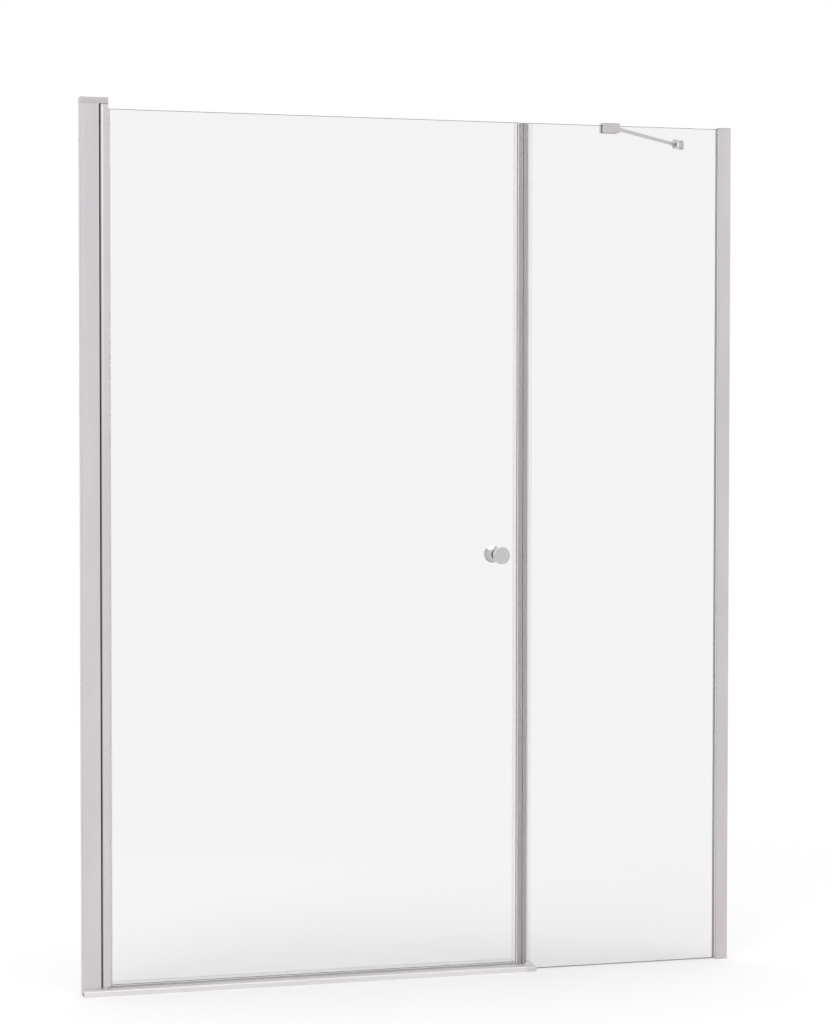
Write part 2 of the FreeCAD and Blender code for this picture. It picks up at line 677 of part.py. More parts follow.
def bottom_pivot_block():
    """The block at the jamb's foot. Its flanged bush carries the weight of the door."""
    outline = rounded_plate("web_right + part_gap", "stile_right", "front", "back")
    plate = profile("bottom_block_plate", [outline], 0, "lower_block_height")
    top = "lower_block_height"
    tongue = spigot("bottom_block_tongue", top, f"{top} + spigot_length")
    pivot = "pivot_x", "pivot_y"
    bush_low = f"{top} - bush_length"
    seat = rod("bottom_bush_seat", "bush_radius", "z", *pivot, bush_low, "bush_length + 1")
    tools = [seat, *block_screw_holes("bottom_block", 0, f"{top} + spigot_length", "-1", "head_sink")]
    blank = joined("bottom_block_blank", [plate, tongue])
    keep("bottom_pivot_block", cut("bottom_pivot_block", blank, tools))
    block_screws("bottom_block_screws", "head_sink", -1)
    bush = [
        ("port_radius", "-bush_length"),
        ("bush_radius - bush_seat_fit", "-bush_length"),
        ("bush_radius - bush_seat_fit", 0),
        ("bush_radius + thrust_reach", 0),
        ("bush_radius + thrust_reach", "thrust_flange"),
        ("port_radius", "thrust_flange"),
    ]
    keep("bottom_pivot_bush", turned("bottom_pivot_bush", bush, "pivot_x", "pivot_y", top))


# ---------------------------------------------------------------- turning stile


def stile_outline(with_slot):
    """The stile in plan. Its outer corner beside the pivot gap is round about the pivot
    axis, so that it turns in the gap. The slot for the glass opens on the right."""
    slot = [
        ("stile_right", "slot_front"),
        ("stile_slot_left", "slot_front"),
        ("stile_slot_left", "slot_back"),
        ("stile_right", "slot_back"),
    ]
    return [
        ("pivot_x", "front"),
        ("stile_right - edge_round", "front", "edge_round", "left"),
        ("stile_right", "front + edge_round"),
        *(slot if with_slot else []),
        ("stile_right", "back - edge_round", "edge_round", "left"),
        ("stile_right - edge_round", "back"),
        ("stile_left + edge_round", "back", "edge_round", "left"),
        ("stile_left", "back - edge_round"),
        ("stile_left", "pivot_y", "pivot_inset", "left"),
    ]


def pivot_stile():
    """The turning upright that holds the door glass, with a round port for the pins."""
    near = "stile_left + stile_wall"
    inner = "stile_slot_left - stile_wall"
    far = "stile_right - stile_wall"
    behind_port = "pivot_y + port_radius + stile_wall"
    chamber = [
        (near, behind_port),
        (inner, behind_port),
        (inner, "slot_back + stile_wall"),
        (far, "slot_back + stile_wall"),
        (far, "back - stile_wall"),
        (near, "back - stile_wall"),
    ]
    front_back = "slot_front - stile_wall"
    front_chamber = rectangle("stile_slot_left", far, "front + stile_wall", front_back)
    port = [("pivot_x", "pivot_y", "port_radius")]
    blank = profile(
        "stile_blank",
        [stile_outline(True), chamber, front_chamber],
        "stile_bottom + plug_thickness",
        "stile_top - plug_thickness",
        port,
    )
    heights = {"low": "stile_bottom + grub_inset", "high": "stile_top - grub_inset"}
    holes = []
    grubs = []
    for level, z in heights.items():
        place = "x", "stile_left - 1", "pivot_y", z, "pivot_inset + 1"
        holes.append(rod(f"stile_grub_hole_{level}", "grub_radius + running_fit", *place))
        place = "x", "stile_left + part_gap", "pivot_y", z, "pivot_inset - pin_radius - part_gap"
        grubs.append(rod(f"pin_grub_{level}", "grub_radius", *place))
    keep("pivot_stile", cut("pivot_stile", blank, holes))
    keep("pin_grub_screws", group("pin_grub_screws", grubs))


def stile_plug(name, plate_low, plate_high, tongue_low, tongue_high, filler):
    """An end plate of the stile, with a tongue in its chamber and a hole for the pin."""
    plate = profile(
        name + "_plate",
        [stile_outline(False)],
        plate_low,
        plate_high,
        [("pivot_x", "pivot_y", "port_radius")],
    )
    tongue = box(
        name + "_tongue",
        ("stile_left + stile_wall + part_gap", "stile_slot_left - stile_wall - part_gap"),
        ("pivot_y + port_radius + stile_wall + part_gap", "back - stile_wall - part_gap"),
        (tongue_low, tongue_high),
    )
    keep(name, joined(name, [plate, tongue, *filler]))


def stile_plugs():
    """The two end plugs. The upper one also fills the slot above the glass."""
    top_plate = "stile_top - plug_thickness"
    filler = box(
        "stile_slot_filler",
        ("stile_slot_left + glazing_gap", "stile_right"),
        ("slot_front + glazing_gap", "slot_back - glazing_gap"),
        ("glass_top + part_gap", top_plate),
    )
    tongue = f"{top_plate} - spigot_length", top_plate
    stile_plug("top_stile_plug", top_plate, "stile_top", *tongue, [filler])
    bottom_plate = "stile_bottom + plug_thickness"
    tongue = bottom_plate, f"{bottom_plate} + spigot_length"
    stile_plug("bottom_stile_plug", "stile_bottom", bottom_plate, *tongue, [])


def pivot_pins():
    """The two steel pins, locked in the stile's port, with a chamfer at the free end."""
    chamfer = "pin_radius / 4"
    top_end = "frame_top + bush_length - pin_tip_gap"
    top_start = "stile_top - pin_in_stile"
    top = [
        (0, 0),
        ("pin_radius", 0),
        ("pin_radius", f"{top_end} - ({top_start}) - {chamfer}"),
        (f"pin_radius - {chamfer}", f"{top_end} - ({top_start})"),
        (0, f"{top_end} - ({top_start})"),
    ]
    keep("top_pivot_pin", turned("top_pivot_pin", top, "pivot_x", "pivot_y", top_start))
    low_start = "lower_block_height - bush_length + pin_tip_gap"
    low_end = "stile_bottom + pin_in_stile"
    low = [
        (0, 0),
        (f"pin_radius - {chamfer}", 0),
        ("pin_radius", chamfer),
        ("pin_radius", f"{low_end} - ({low_start})"),
        (0, f"{low_end} - ({low_start})"),
    ]
    keep("bottom_pivot_pin", turned("bottom_pivot_pin", low, "pivot_x", "pivot_y", low_start))


# ---------------------------------------------------------------- glass


def pane(name, left, right, bottom):
    """A toughened pane with a small chamfer on every edge."""
    body = doc.addObject("PartDesign::Body", name + "_pane")
    sketch = new_sketch(body, "XY_Plane", [rectangle(left, right, 0, "glass_thickness")])
    pad = body.newObject("PartDesign::Pad", name + "_pad")
    pad.Profile = sketch
    bind(pad, Length=f"glass_top - ({bottom})")
    put(body, z=bottom)
    doc.recompute()
    arris = body.newObject("PartDesign::Chamfer", name + "_arris")
    arris.Base = (pad, [f"Edge{i + 1}" for i in range(len(pad.Shape.Edges))])
    bind(arris, Size="glass_arris")
    body.Tip = arris
    return body


def door_glass():
    """The door pane, with one round hole for the knobs."""
    blank = pane("door_glass", "door_glass_left", "door_glass_right", "door_glass_bottom")
    hole = rod("knob_hole", "knob_glass_hole", "y", "knob_x", "-1", "knob_height", "glass_thickness + 2")
    keep("door_glass", cut("door_glass", blank, [hole]))


def panel_glass():
    """The fixed pane."""
    sides = "panel_glass_left", "panel_glass_right"
    keep("panel_glass", pane("panel_glass", *sides, "panel_glass_bottom"))


def glazing_rubber(name, slot_end, glass_edge, mouth, lip, low, side):
    """The U of rubber around a pane's edge in its slot, with a lip on each face of the
    glass. side is 1 where the glass runs to the right of the slot."""
    end = f"({slot_end}) + glazing_gap" if side > 0 else f"({slot_end}) - glazing_gap"
    web = f"({glass_edge}) - glazing_gap" if side > 0 else f"({glass_edge}) + glazing_gap"
    tip = f"({mouth}) + {lip}" if side > 0 else f"({mouth}) - {lip}"
    outline = [
        (end, "-rubber"),
        (mouth, "-rubber"),
        (tip, "-rubber_lip_edge"),
        (tip, "-glazing_gap"),
        (web, "-glazing_gap"),
        (web, "glass_thickness + glazing_gap"),
        (tip, "glass_thickness + glazing_gap"),
        (tip, "glass_thickness + rubber_lip_edge"),
        (mouth, "glass_thickness + rubber"),
        (end, "glass_thickness + rubber"),
    ]
    keep(name, profile(name, [outline], low, "glass_top"))


# ---------------------------------------------------------------- magnetic strips, drip seal


def magnetic_strip(name, glass_edge, meet, side):
    """A clear clip on a pane's edge with a grey magnet in its head. side is 1 where the
    head stands to the right of the glass."""
    sign, other = ("+", "-") if side > 0 else ("-", "+")
    bend = "left" if side > 0 else "right"
    leg_end = f"({glass_edge}) {other} strip_leg"
    root = f"({glass_edge}) {sign} glazing_gap"
    outline = [
        (leg_end, "clip_front"),
        (f"({meet}) {other} strip_round", "clip_front", "strip_round", bend),
        (meet, "clip_front + strip_round"),
        (meet, "clip_back - strip_round", "strip_round", bend),
        (f"({meet}) {other} strip_round", "clip_back"),
        (leg_end, "clip_back"),
        (leg_end, "glass_thickness + glazing_gap"),
        (root, "glass_thickness + glazing_gap"),
        (root, "-glazing_gap"),
        (leg_end, "-glazing_gap"),
    ]
    inner = f"({glass_edge}) {sign} strip_root"
    outer = f"({meet}) {other} strip_front_skin"
    low, high = (inner, outer) if side > 0 else (outer, inner)
    front, rear = "clip_front + strip_front_skin", "clip_back - strip_front_skin"
    cavity = rectangle(low, high, front, rear)
    clip = profile(name + "_clip", [outline, cavity], "strip_bottom", "glass_top")
    keep(name + "_clip", clip)
    core = rectangle(
        f"({low}) + glazing_gap",
        f"({high}) - glazing_gap",
        f"{front} + glazing_gap",
        f"{rear} - glazing_gap",
    )
    magnet = profile(
        name + "_magnet", [core], "strip_bottom + magnet_inset", "glass_top - magnet_inset"
    )
    keep(name + "_magnet", magnet)


def door_drip_seal():
    """The clear seal under the door glass: a clip, an upright fin that ends just above
    the rail, and a fin behind it that slopes down into the shower."""
    under = "door_glass_bottom - glazing_gap"
    floor = f"{under} - strip_skin"
    leg_top = "door_glass_bottom + drip_leg"
    fin_foot = "rail_height + drip_floor_gap"
    slope_y = "clip_back + deflector_reach"
    slope_z = "rail_height + dam_height"
    outline = [
        ("clip_front", floor),
        ("drip_fin_setback", floor),
        ("drip_fin_setback", fin_foot),
        ("drip_fin_setback + drip_fin", fin_foot),
        ("drip_fin_setback + drip_fin", floor),
        ("clip_back - strip_skin", floor),
        (f"{slope_y} - drip_fin", slope_z),
        (slope_y, slope_z),
        ("clip_back", under),
        ("clip_back", leg_top),
        ("clip_back - strip_skin", leg_top),
        ("clip_back - strip_skin", under),
        ("-glazing_gap", under),
        ("-glazing_gap", leg_top),
        ("clip_front", leg_top),
    ]
    left = "lip_right + part_gap"
    right = "door_glass_right - strip_leg - part_gap"
    keep("door_drip_seal", profile("door_drip_seal", [outline], left, right, plane="YZ_Plane"))


# ---------------------------------------------------------------- rail


def rail_outline(with_dam):
    """The rail's section: a rounded nose, a top that falls towards the front, and the
    water bar behind the door."""
    nose_top = "rail_front_height"
    dam = [
        ("dam_setback + dam_width", "rail_height"),
        ("dam_setback + dam_width", "rail_height + dam_height"),
        ("dam_setback", "rail_height + dam_height"),
        ("dam_setback", "rail_height"),
    ]
    return [
        ("rail_front", 0),
        ("rail_behind", 0),
        ("rail_behind", "rail_height"),
        *(dam if with_dam else []),
        ("-rail_wall", "rail_height"),
        ("rail_front + rail_nose", nose_top, "rail_nose", "left"),
        ("rail_front", f"{nose_top} - rail_nose"),
    ]


def rail_chambers(inset):
    """The rail's two hollow chambers, as (low, high) pairs in Y and in Z."""
    top = f"rail_front_height - rail_wall - ({inset})"
    floor = f"rail_wall + ({inset})"
    split = "rail_chamber_split"
    front = (f"rail_front + rail_wall + ({inset})", f"{split} - rail_wall / 2 - ({inset})")
    rear = (f"{split} + rail_wall / 2 + ({inset})", f"rail_behind - rail_wall - ({inset})")
    return [(front, (floor, top)), (rear, (floor, top))]


def sill_rail():
    """The low rail on the floor. It runs from wall to panel under the door. Its back is
    cut away beside the jamb and the lower pivot block, and its nose passes in front."""
    chambers = [rectangle(*y, *z) for y, z in rail_chambers("0")]
    blank = profile("rail_blank", [rail_outline(True), *chambers], 0, "rail_end", plane="YZ_Plane")
    notch = box(
        "rail_notch",
        ("-1", "stile_right + part_gap"),
        ("front - part_gap", "rail_behind + 1"),
        ("-1", "rail_height + dam_height + 1"),
    )
    keep("sill_rail", cut("sill_rail", blank, [notch]))


def sill_end_cap():
    """The moulded end of the rail. Its front part runs on ahead of the fixed pane and
    rises in a small arch against it, and two tongues push into the rail."""
    outline = rail_outline(False)
    turn_x = "panel_glass_left - part_gap"
    full_part = profile("end_cap_full", [outline], "rail_end", turn_x, plane="YZ_Plane")
    nose = [
        ("rail_front", 0),
        ("-end_cap_clear", 0),
        ("-end_cap_clear", "rail_height"),
        ("-rail_wall", "rail_height"),
        ("rail_front + rail_nose", "rail_front_height", "rail_nose", "left"),
        ("rail_front", "rail_front_height - rail_nose"),
    ]
    nose_part = profile("end_cap_nose", [nose], turn_x, "end_cap_right", plane="YZ_Plane")
    arch = rod(
        "end_cap_arch_round",
        "end_cap_arch_radius",
        "y",
        "rail_end + end_cap_length / 2",
        "-end_cap_clear - end_cap_arch_depth",
        "end_cap_arch - end_cap_arch_radius",
        "end_cap_arch_depth",
    )
    below = box(
        "end_cap_arch_keep",
        ("rail_end", "end_cap_right"),
        ("-end_cap_clear - end_cap_arch_depth", "-end_cap_clear"),
        ("rail_wall", "end_cap_arch + 1"),
    )
    hump = doc.addObject("Part::Common", "end_cap_hump")
    hump.Base = arch
    hump.Tool = below
    tongues = [
        box(f"end_cap_tongue_{name}", ("rail_end - end_cap_spigot", "rail_end"), y, z)
        for name, (y, z) in zip(("front", "rear"), rail_chambers("part_gap"))
    ]
    keep("sill_end_cap", joined("sill_end_cap", [full_part, nose_part, hump, *tongues]))


# ---------------------------------------------------------------- fixed panel


def far_wall_channel():
    """The deep U on the far wall that takes the edge of the fixed panel."""
    web = "opening_width - jamb_wall"
    outline = [
        ("far_left + edge_round", "front"),
        ("opening_width", "front"),
        ("opening_width", "back"),
        ("far_left + edge_round", "back", "edge_round", "left"),
        ("far_left", "back - edge_round"),
        ("far_left", "chamber_back"),
        (web, "chamber_back"),
        (web, "chamber_front"),
        ("far_left", "chamber_front"),
        ("far_left", "front + edge_round", "edge_round", "left"),
    ]
    blank = profile("far_channel_blank", [outline], 0, "glass_top")
    tools = wall_screw_holes("far_channel", web)
    tools += fixing_holes("far_channel_fixing", "far_fixing_x", "glass_top")
    keep("far_wall_channel", cut("far_wall_channel", blank, tools))
    plate = profile(
        "far_cap_plate",
        [rectangle("far_left", "opening_width", "front", "back")],
        "glass_top",
        "glass_top + far_cap_height",
    )
    tongue = box(
        "far_cap_tongue",
        ("panel_slot_right + stile_wall + part_gap", "edge_right - stile_wall - part_gap"),
        ("channel_front + stile_wall + part_gap", "channel_back - stile_wall - part_gap"),
        ("glass_top - spigot_length", "glass_top"),
    )
    keep("far_channel_cap", joined("far_channel_cap", [plate, tongue]))
    fixing_set("panel_fixing_screws", "panel_screw_caps", "far_fixing_x", "glass_top")


def panel_edge_profile():
    """The hollow extrusion glued to the fixed pane's edge, which slides in the far
    channel when the panel is fitted."""
    outline = [
        ("edge_left", "channel_front"),
        ("edge_right", "channel_front"),
        ("edge_right", "channel_back"),
        ("edge_left", "channel_back"),
        ("edge_left", "slot_back"),
        ("panel_slot_right", "slot_back"),
        ("panel_slot_right", "slot_front"),
        ("edge_left", "slot_front"),
    ]
    side = ("edge_left + stile_wall", "panel_slot_right")
    end = ("panel_slot_right + stile_wall", "edge_right - stile_wall")
    chambers = [
        rectangle(*side, "channel_front + stile_wall", "slot_front - stile_wall"),
        rectangle(*side, "slot_back + stile_wall", "channel_back - stile_wall"),
        rectangle(*end, "channel_front + stile_wall", "channel_back - stile_wall"),
    ]
    blank = profile("edge_profile_blank", [outline, *chambers], 0, "glass_top")
    tools = fixing_holes("edge_profile_fixing", "far_fixing_x", "glass_top")
    keep("panel_edge_profile", cut("panel_edge_profile", blank, tools))


def panel_sill_seal():
    """The clear strip that the fixed pane stands on."""
    strip = box(
        "panel_sill_seal",
        ("panel_glass_left", "edge_left - part_gap"),
        ("sill_seal_inset", "glass_thickness - sill_seal_inset"),
        (0, "panel_glass_bottom"),
    )
    keep("panel_sill_seal", strip)


# ---------------------------------------------------------------- knobs


def knob_corners(side, origin):
    """A knob's outline as (radius, Y): a foot on its washer, a hollow side that opens out
    to a straight rim, a flat face, and a blind bore for the stud. side is -1 in front."""

    def at(reach):
        return f"{origin} {'+' if side > 0 else '-'} ({reach})"

    bend = {"rim": "left", "side": "right"} if side > 0 else {"rim": "right", "side": "left"}
    bore = "knob_stud + running_fit"
    return [
        (bore, at("knob_washer")),
        ("knob_base", at("knob_washer"), "knob_sweep", bend["side"]),
        ("knob_face", at("knob_reach - knob_rim")),
        ("knob_face", at("knob_reach - knob_rim_round"), "knob_rim_round", bend["rim"]),
        ("knob_face - knob_rim_round", at("knob_reach")),
        (0, at("knob_reach")),
        (0, at("knob_washer + knob_stud_depth")),
        (bore, at("knob_washer + knob_stud_depth")),
    ]


def knobs():
    """The two knobs, their clear washers, and the stud that joins them through the glass."""
    place = ("knob_x", 0, "knob_height", "XY_Plane")
    keep("outer_knob", turned("outer_knob", knob_corners(-1, "0"), *place))
    blank = turned("inner_knob_blank", knob_corners(1, "glass_thickness"), *place)
    grub_y = "glass_thickness + knob_washer + knob_grub_setback"
    grub_place = "z", "knob_x", grub_y
    below = "knob_height - knob_base - 1"
    hole = rod("knob_grub_hole", "knob_grub + running_fit", *grub_place, below, "knob_base + 1")
    keep("inner_knob", cut("inner_knob", blank, [hole]))
    grub_start = "knob_height - knob_base + knob_grub_sink"
    grub_length = "knob_base - knob_grub_sink - knob_stud"
    keep("knob_grub_screw", rod("knob_grub_screw", "knob_grub", *grub_place, grub_start, grub_length))
    stud_start = "running_fit - knob_washer - knob_stud_depth"
    stud_length = "glass_thickness + 2 * (knob_washer + knob_stud_depth - running_fit)"
    keep("knob_stud", rod("knob_stud", "knob_stud", "y", "knob_x", stud_start, "knob_height", stud_length))
    washers = []
    for name, sign, face in (("outer", "-", "0"), ("inner", "+", "glass_thickness")):
        back = "+" if sign == "-" else "-"
        sleeve_end = f"{face} {back} (glass_thickness / 2 - glazing_gap)"
        sleeve = "knob_glass_hole - knob_sleeve_gap"
        corners = [
            ("knob_stud + running_fit", f"{face} {sign} knob_washer"),
            ("knob_base", f"{face} {sign} knob_washer"),
            ("knob_base", face),
            (sleeve, face),
            (sleeve, sleeve_end),
            ("knob_stud + running_fit", sleeve_end),
        ]
        washers.append(turned(f"knob_washer_{name}", corners, *place))
    keep("knob_washers", group("knob_washers", washers))


# ---------------------------------------------------------------- brace


def brace_clamp():
    """The block that hooks over the fixed pane. Its rear jaw carries two ears for the
    swivel, and a grub screw in that jaw grips the glass through a pad."""
    rear = "glass_thickness + clamp_back"
    body = box(
        "clamp_block",
        ("clamp_left", "clamp_right"),
        ("-clamp_front", rear),
        ("clamp_bottom", "clamp_top"),
    )
    rounded = doc.addObject("Part::Fillet", "clamp_rounded")
    rounded.Base = body
    doc.recompute()
    size = number("clamp_round")
    rounded.Edges = [(i + 1, size, size) for i in range(len(body.Shape.Edges))]
    slot = box(
        "clamp_slot",
        ("clamp_left - 1", "clamp_right + 1"),
        ("-clamp_pad", "glass_thickness + clamp_pad"),
        ("clamp_bottom - 1", "glass_top + clamp_pad"),
    )
    pocket = box(
        "clamp_swivel_pocket",
        ("near_swivel_x - swivel_radius - part_gap", "clamp_right + 1"),
        ("near_swivel_y - swivel_radius - part_gap", f"{rear} + 1"),
        ("brace_z - ear_inner", "brace_z + ear_inner"),
    )
    screw_hole = rod(
        "clamp_screw_hole",
        "clamp_screw + running_fit",
        "y",
        "clamp_left + clamp_width / 2",
        "glass_thickness",
        "brace_z - clamp_over_glass / 2",
        "clamp_back + 1",
    )
    ears = []
    for name, low in (("lower", "brace_z - ear_outer"), ("upper", "brace_z + ear_inner")):
        axis = "near_swivel_x", "near_swivel_y", low
        eye = rod(f"clamp_ear_eye_{name}", "swivel_radius", "z", *axis, "ear_thickness")
        arm = box(
            f"clamp_ear_arm_{name}",
            ("clamp_right - clamp_round - swivel_radius", "near_swivel_x"),
            ("near_swivel_y - swivel_radius", "near_swivel_y + swivel_radius"),
            (low, f"{low} + ear_thickness"),
        )
        ears += [eye, arm]
    pin_hole = rod(
        "clamp_ear_hole",
        "swivel_screw + running_fit",
        "z",
        "near_swivel_x",
        "near_swivel_y",
        "brace_z - ear_outer - 1",
        "2 * ear_outer + 2",
    )
    head_room = rod(
        "clamp_head_room",
        "screw_head + part_gap",
        "z",
        "near_swivel_x",
        "near_swivel_y",
        "brace_z + ear_inner",
        "clamp_height",
    )
    hollow = cut("clamp_hollow", rounded, [slot, pocket, head_room])
    blank = joined("clamp_blank", [hollow, *ears])
    keep("brace_clamp", cut("brace_clamp", blank, [screw_hole, pin_hole]))


def clamp_pads_and_screw():
    """The two soft pads that touch the glass, and the grub screw behind the rear one."""
    pads = [
        box(
            f"clamp_pad_{name}",
            ("clamp_left + clamp_pad_inset", "clamp_right - clamp_pad_inset"),
            y,
            ("clamp_bottom + clamp_pad_inset", "glass_top - clamp_pad_inset"),
        )
        for name, y in (
            ("front", ("-clamp_pad", "0")),
            ("rear", ("glass_thickness", "glass_thickness + clamp_pad")),
        )
    ]
    keep("brace_clamp_pads", group("brace_clamp_pads", pads))
    screw = rod(
        "clamp_grub",
        "clamp_screw",
        "y",
        "clamp_left + clamp_width / 2",
        "glass_thickness + clamp_pad",
        "brace_z - clamp_over_glass / 2",
        "clamp_back - clamp_pad - part_gap",
    )
    socket = rod(
        "clamp_grub_socket",
        "clamp_screw / 2",
        "y",
        "clamp_left + clamp_width / 2",
        "glass_thickness + clamp_back - clamp_screw",
        "brace_z - clamp_over_glass / 2",
        "clamp_screw",
    )
    keep("brace_clamp_screw", cut("brace_clamp_screw", screw, [socket]))


def along_bar(thing, x, y, turn, setback, level="brace_z"):
    """Places a piece at a distance from a swivel's axis, turned to lie along the bar."""
    angle = f"brace_angle + {turn}"
    ahead_x = f"({x}) + ({setback}) * cos(({angle}) * 1 deg)"
    ahead_y = f"({y}) + ({setback}) * sin(({angle}) * 1 deg)"
    words = f"placement(vector({ahead_x}; {ahead_y}; {level}); rotation(vector(0; 0; 1); {angle}))"
    thing.setExpression("Placement", full(words))


def swivel(name, x, y, turn):
    """A swivel: an upright barrel between two ears, with a socket for the bar. It is drawn
    along X about its own axis and then turned to the bar's direction."""
    barrel = rod(name + "_barrel", "swivel_radius", "z", 0, 0, "-swivel_half", "2 * swivel_half")
    socket = rod(name + "_socket", "socket_radius", "x", 0, 0, 0, "socket_length")
    bore_end = "bar_setback - running_fit"
    bore = rod(name + "_bore", "bar_radius + running_fit", "x", bore_end, 0, 0, "socket_length")
    pin_size = "swivel_screw + running_fit"
    pin = rod(name + "_pin_hole", pin_size, "z", 0, 0, "-swivel_half - 1", "2 * swivel_half + 2")
    grub_place = "z", "bar_grub_setback", 0, "-socket_radius - 1"
    grub = rod(name + "_grub_hole", "bar_grub + running_fit", *grub_place, "socket_radius + 1")
    body = joined(name + "_blank", [barrel, socket])
    piece = cut(name, body, [bore, pin, grub])
    along_bar(piece, x, y, turn, 0)
    keep(name, piece)


def brace_bar():
    """The bar between the two swivels, and the two grub screws that lock it."""
    bar = doc.addObject("Part::Cylinder", "bar_blank")
    bar.Placement = Placement(Vector(), ALONG["x"])
    bind(bar, Radius="bar_radius", Height="brace_length - 2 * bar_setback")
    piece = group("brace_bar", [bar])
    along_bar(piece, "near_swivel_x", "near_swivel_y", 0, "bar_setback")
    keep("brace_bar", piece)
    grubs = []
    ends = (("near", "near_swivel_x", "near_swivel_y", 0), ("wall", "wall_swivel_x", "wall_swivel_y", 180))
    for name, x, y, turn in ends:
        grub = doc.addObject("Part::Cylinder", f"bar_grub_{name}")
        bind(grub, Radius="bar_grub", Height="socket_radius - bar_radius")
        along_bar(grub, x, y, turn, "bar_grub_setback", "brace_z - socket_radius")
        grubs.append(grub)
    keep("brace_grub_screws", group("brace_grub_screws", grubs))


def swivel_screws():
    """The two screws that the swivels turn on and are locked by."""
    screws = [
        pan_screw(
            f"swivel_screw_{name}",
            "z",
            f"{name}_swivel_x",
            f"{name}_swivel_y",
            "brace_z + ear_outer",
            "swivel_screw",
            "2 * ear_outer",
            1,
        )
        for name in ("near", "wall")
    ]
    keep("brace_swivel_screws", group("brace_swivel_screws", screws))


def brace_wall_flange():
    """The flange on the far wall, with two ears for the swivel and a wall screw hole on
    each side of them."""
    half_width, half_height = "flange_width / 2", "flange_height / 2"
    face = "opening_width - flange_thickness"
    low_y, high_y = f"wall_swivel_y - {half_width}", f"wall_swivel_y + {half_width}"
    level = "brace_z - flange_drop"
    low_z, high_z = f"{level} - {half_height}", f"{level} + {half_height}"
    outline = [
        (f"{low_y} + flange_round", low_z),
        (f"{high_y} - flange_round", low_z, "flange_round", "left"),
        (high_y, f"{low_z} + flange_round"),
        (high_y, f"{high_z} - flange_round", "flange_round", "left"),
        (f"{high_y} - flange_round", high_z),
        (f"{low_y} + flange_round", high_z, "flange_round", "left"),
        (low_y, f"{high_z} - flange_round"),
        (low_y, f"{low_z} + flange_round", "flange_round", "left"),
    ]
    plate = profile("flange_plate", [outline], face, "opening_width", plane="YZ_Plane")
    ears = []
    for name, low in (("lower", "brace_z - ear_outer"), ("upper", "brace_z + ear_inner")):
        axis = "wall_swivel_x", "wall_swivel_y", low
        ears.append(rod(f"flange_eye_{name}", "swivel_radius", "z", *axis, "ear_thickness"))
        arm = box(
            f"flange_arm_{name}",
            ("wall_swivel_x", face),
            ("wall_swivel_y - swivel_radius", "wall_swivel_y + swivel_radius"),
            (low, f"{low} + ear_thickness"),
        )
        ears.append(arm)
    holes = [
        rod(
            f"flange_screw_hole_{name}",
            "flange_screw_hole",
            "x",
            f"{face} - 1",
            f"wall_swivel_y {sign} flange_screw_pitch / 2",
            level,
            "flange_thickness + 2",
        )
        for name, sign in (("near", "-"), ("deep", "+"))
    ]
    pin_hole = rod(
        "flange_ear_hole",
        "swivel_screw + running_fit",
        "z",
        "wall_swivel_x",
        "wall_swivel_y",
        "brace_z - ear_outer - 1",
        "2 * ear_outer + 2",
    )
    blank = joined("flange_blank", [plate, *ears])
    keep("brace_wall_flange", cut("brace_wall_flange", blank, [*holes, pin_hole]))


# ---------------------------------------------------------------- the whole enclosure

left_wall_channel()
pivot_jamb()
pivot_gap_seal()
top_pivot_block()
bottom_pivot_block()
pivot_stile()
stile_plugs()
pivot_pins()
door_glass()
glazing_rubber(
    "stile_glazing_rubber",
    "stile_slot_left",
    "door_glass_left",
    "stile_right",
    "rubber_lip",
    "door_glass_bottom",
    1,
)
magnetic_strip("door_strip", "door_glass_right", "door_meet", 1)
door_drip_seal()
knobs()
sill_rail()
sill_end_cap()
panel_glass()
magnetic_strip("panel_strip", "panel_glass_left", "panel_meet", -1)
panel_sill_seal()
panel_edge_profile()
glazing_rubber(
    "panel_glazing_rubber",
    "panel_slot_right",
    "panel_glass_right",
    "edge_left",
    "panel_lip",
    "panel_glass_bottom",
    -1,
)
far_wall_channel()
brace_clamp()
clamp_pads_and_screw()
swivel("brace_clamp_swivel", "near_swivel_x", "near_swivel_y", 0)
brace_bar()
swivel("brace_wall_swivel", "wall_swivel_x", "wall_swivel_y", 180)
swivel_screws()
brace_wall_flange()
doc.recompute()

# ---------------------------------------------------------------- checks and files

for thing in doc.Objects:
    if "Invalid" in thing.State or "Error" in thing.State:
        raise RuntimeError(f"{thing.Label} didn't build: {thing.State}")
for name, thing in PARTS.items():
    if thing.Shape.isNull() or not thing.Shape.isValid() or not thing.Shape.Solids:
        raise RuntimeError(f"{name} isn't a valid solid")

os.makedirs("parts", exist_ok=True)
for name, thing in PARTS.items():
    thing.Shape.exportStep(f"parts/{name}.step")
print(f"{len(PARTS)} sub-parts written")
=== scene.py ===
"""Finishes and studio for a pivot shower door with an in-line fixed panel.

Lengths are in millimetres and turn to metres where a mesh is made. The frame is the model's
own: X along the opening, Y into the shower, Z up, with Z = 0 on the floor.
"""
import json
import math

import bmesh
import bpy
import numpy as np
from mathutils import Euler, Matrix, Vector
from mathutils.geometry import tessellate_polygon


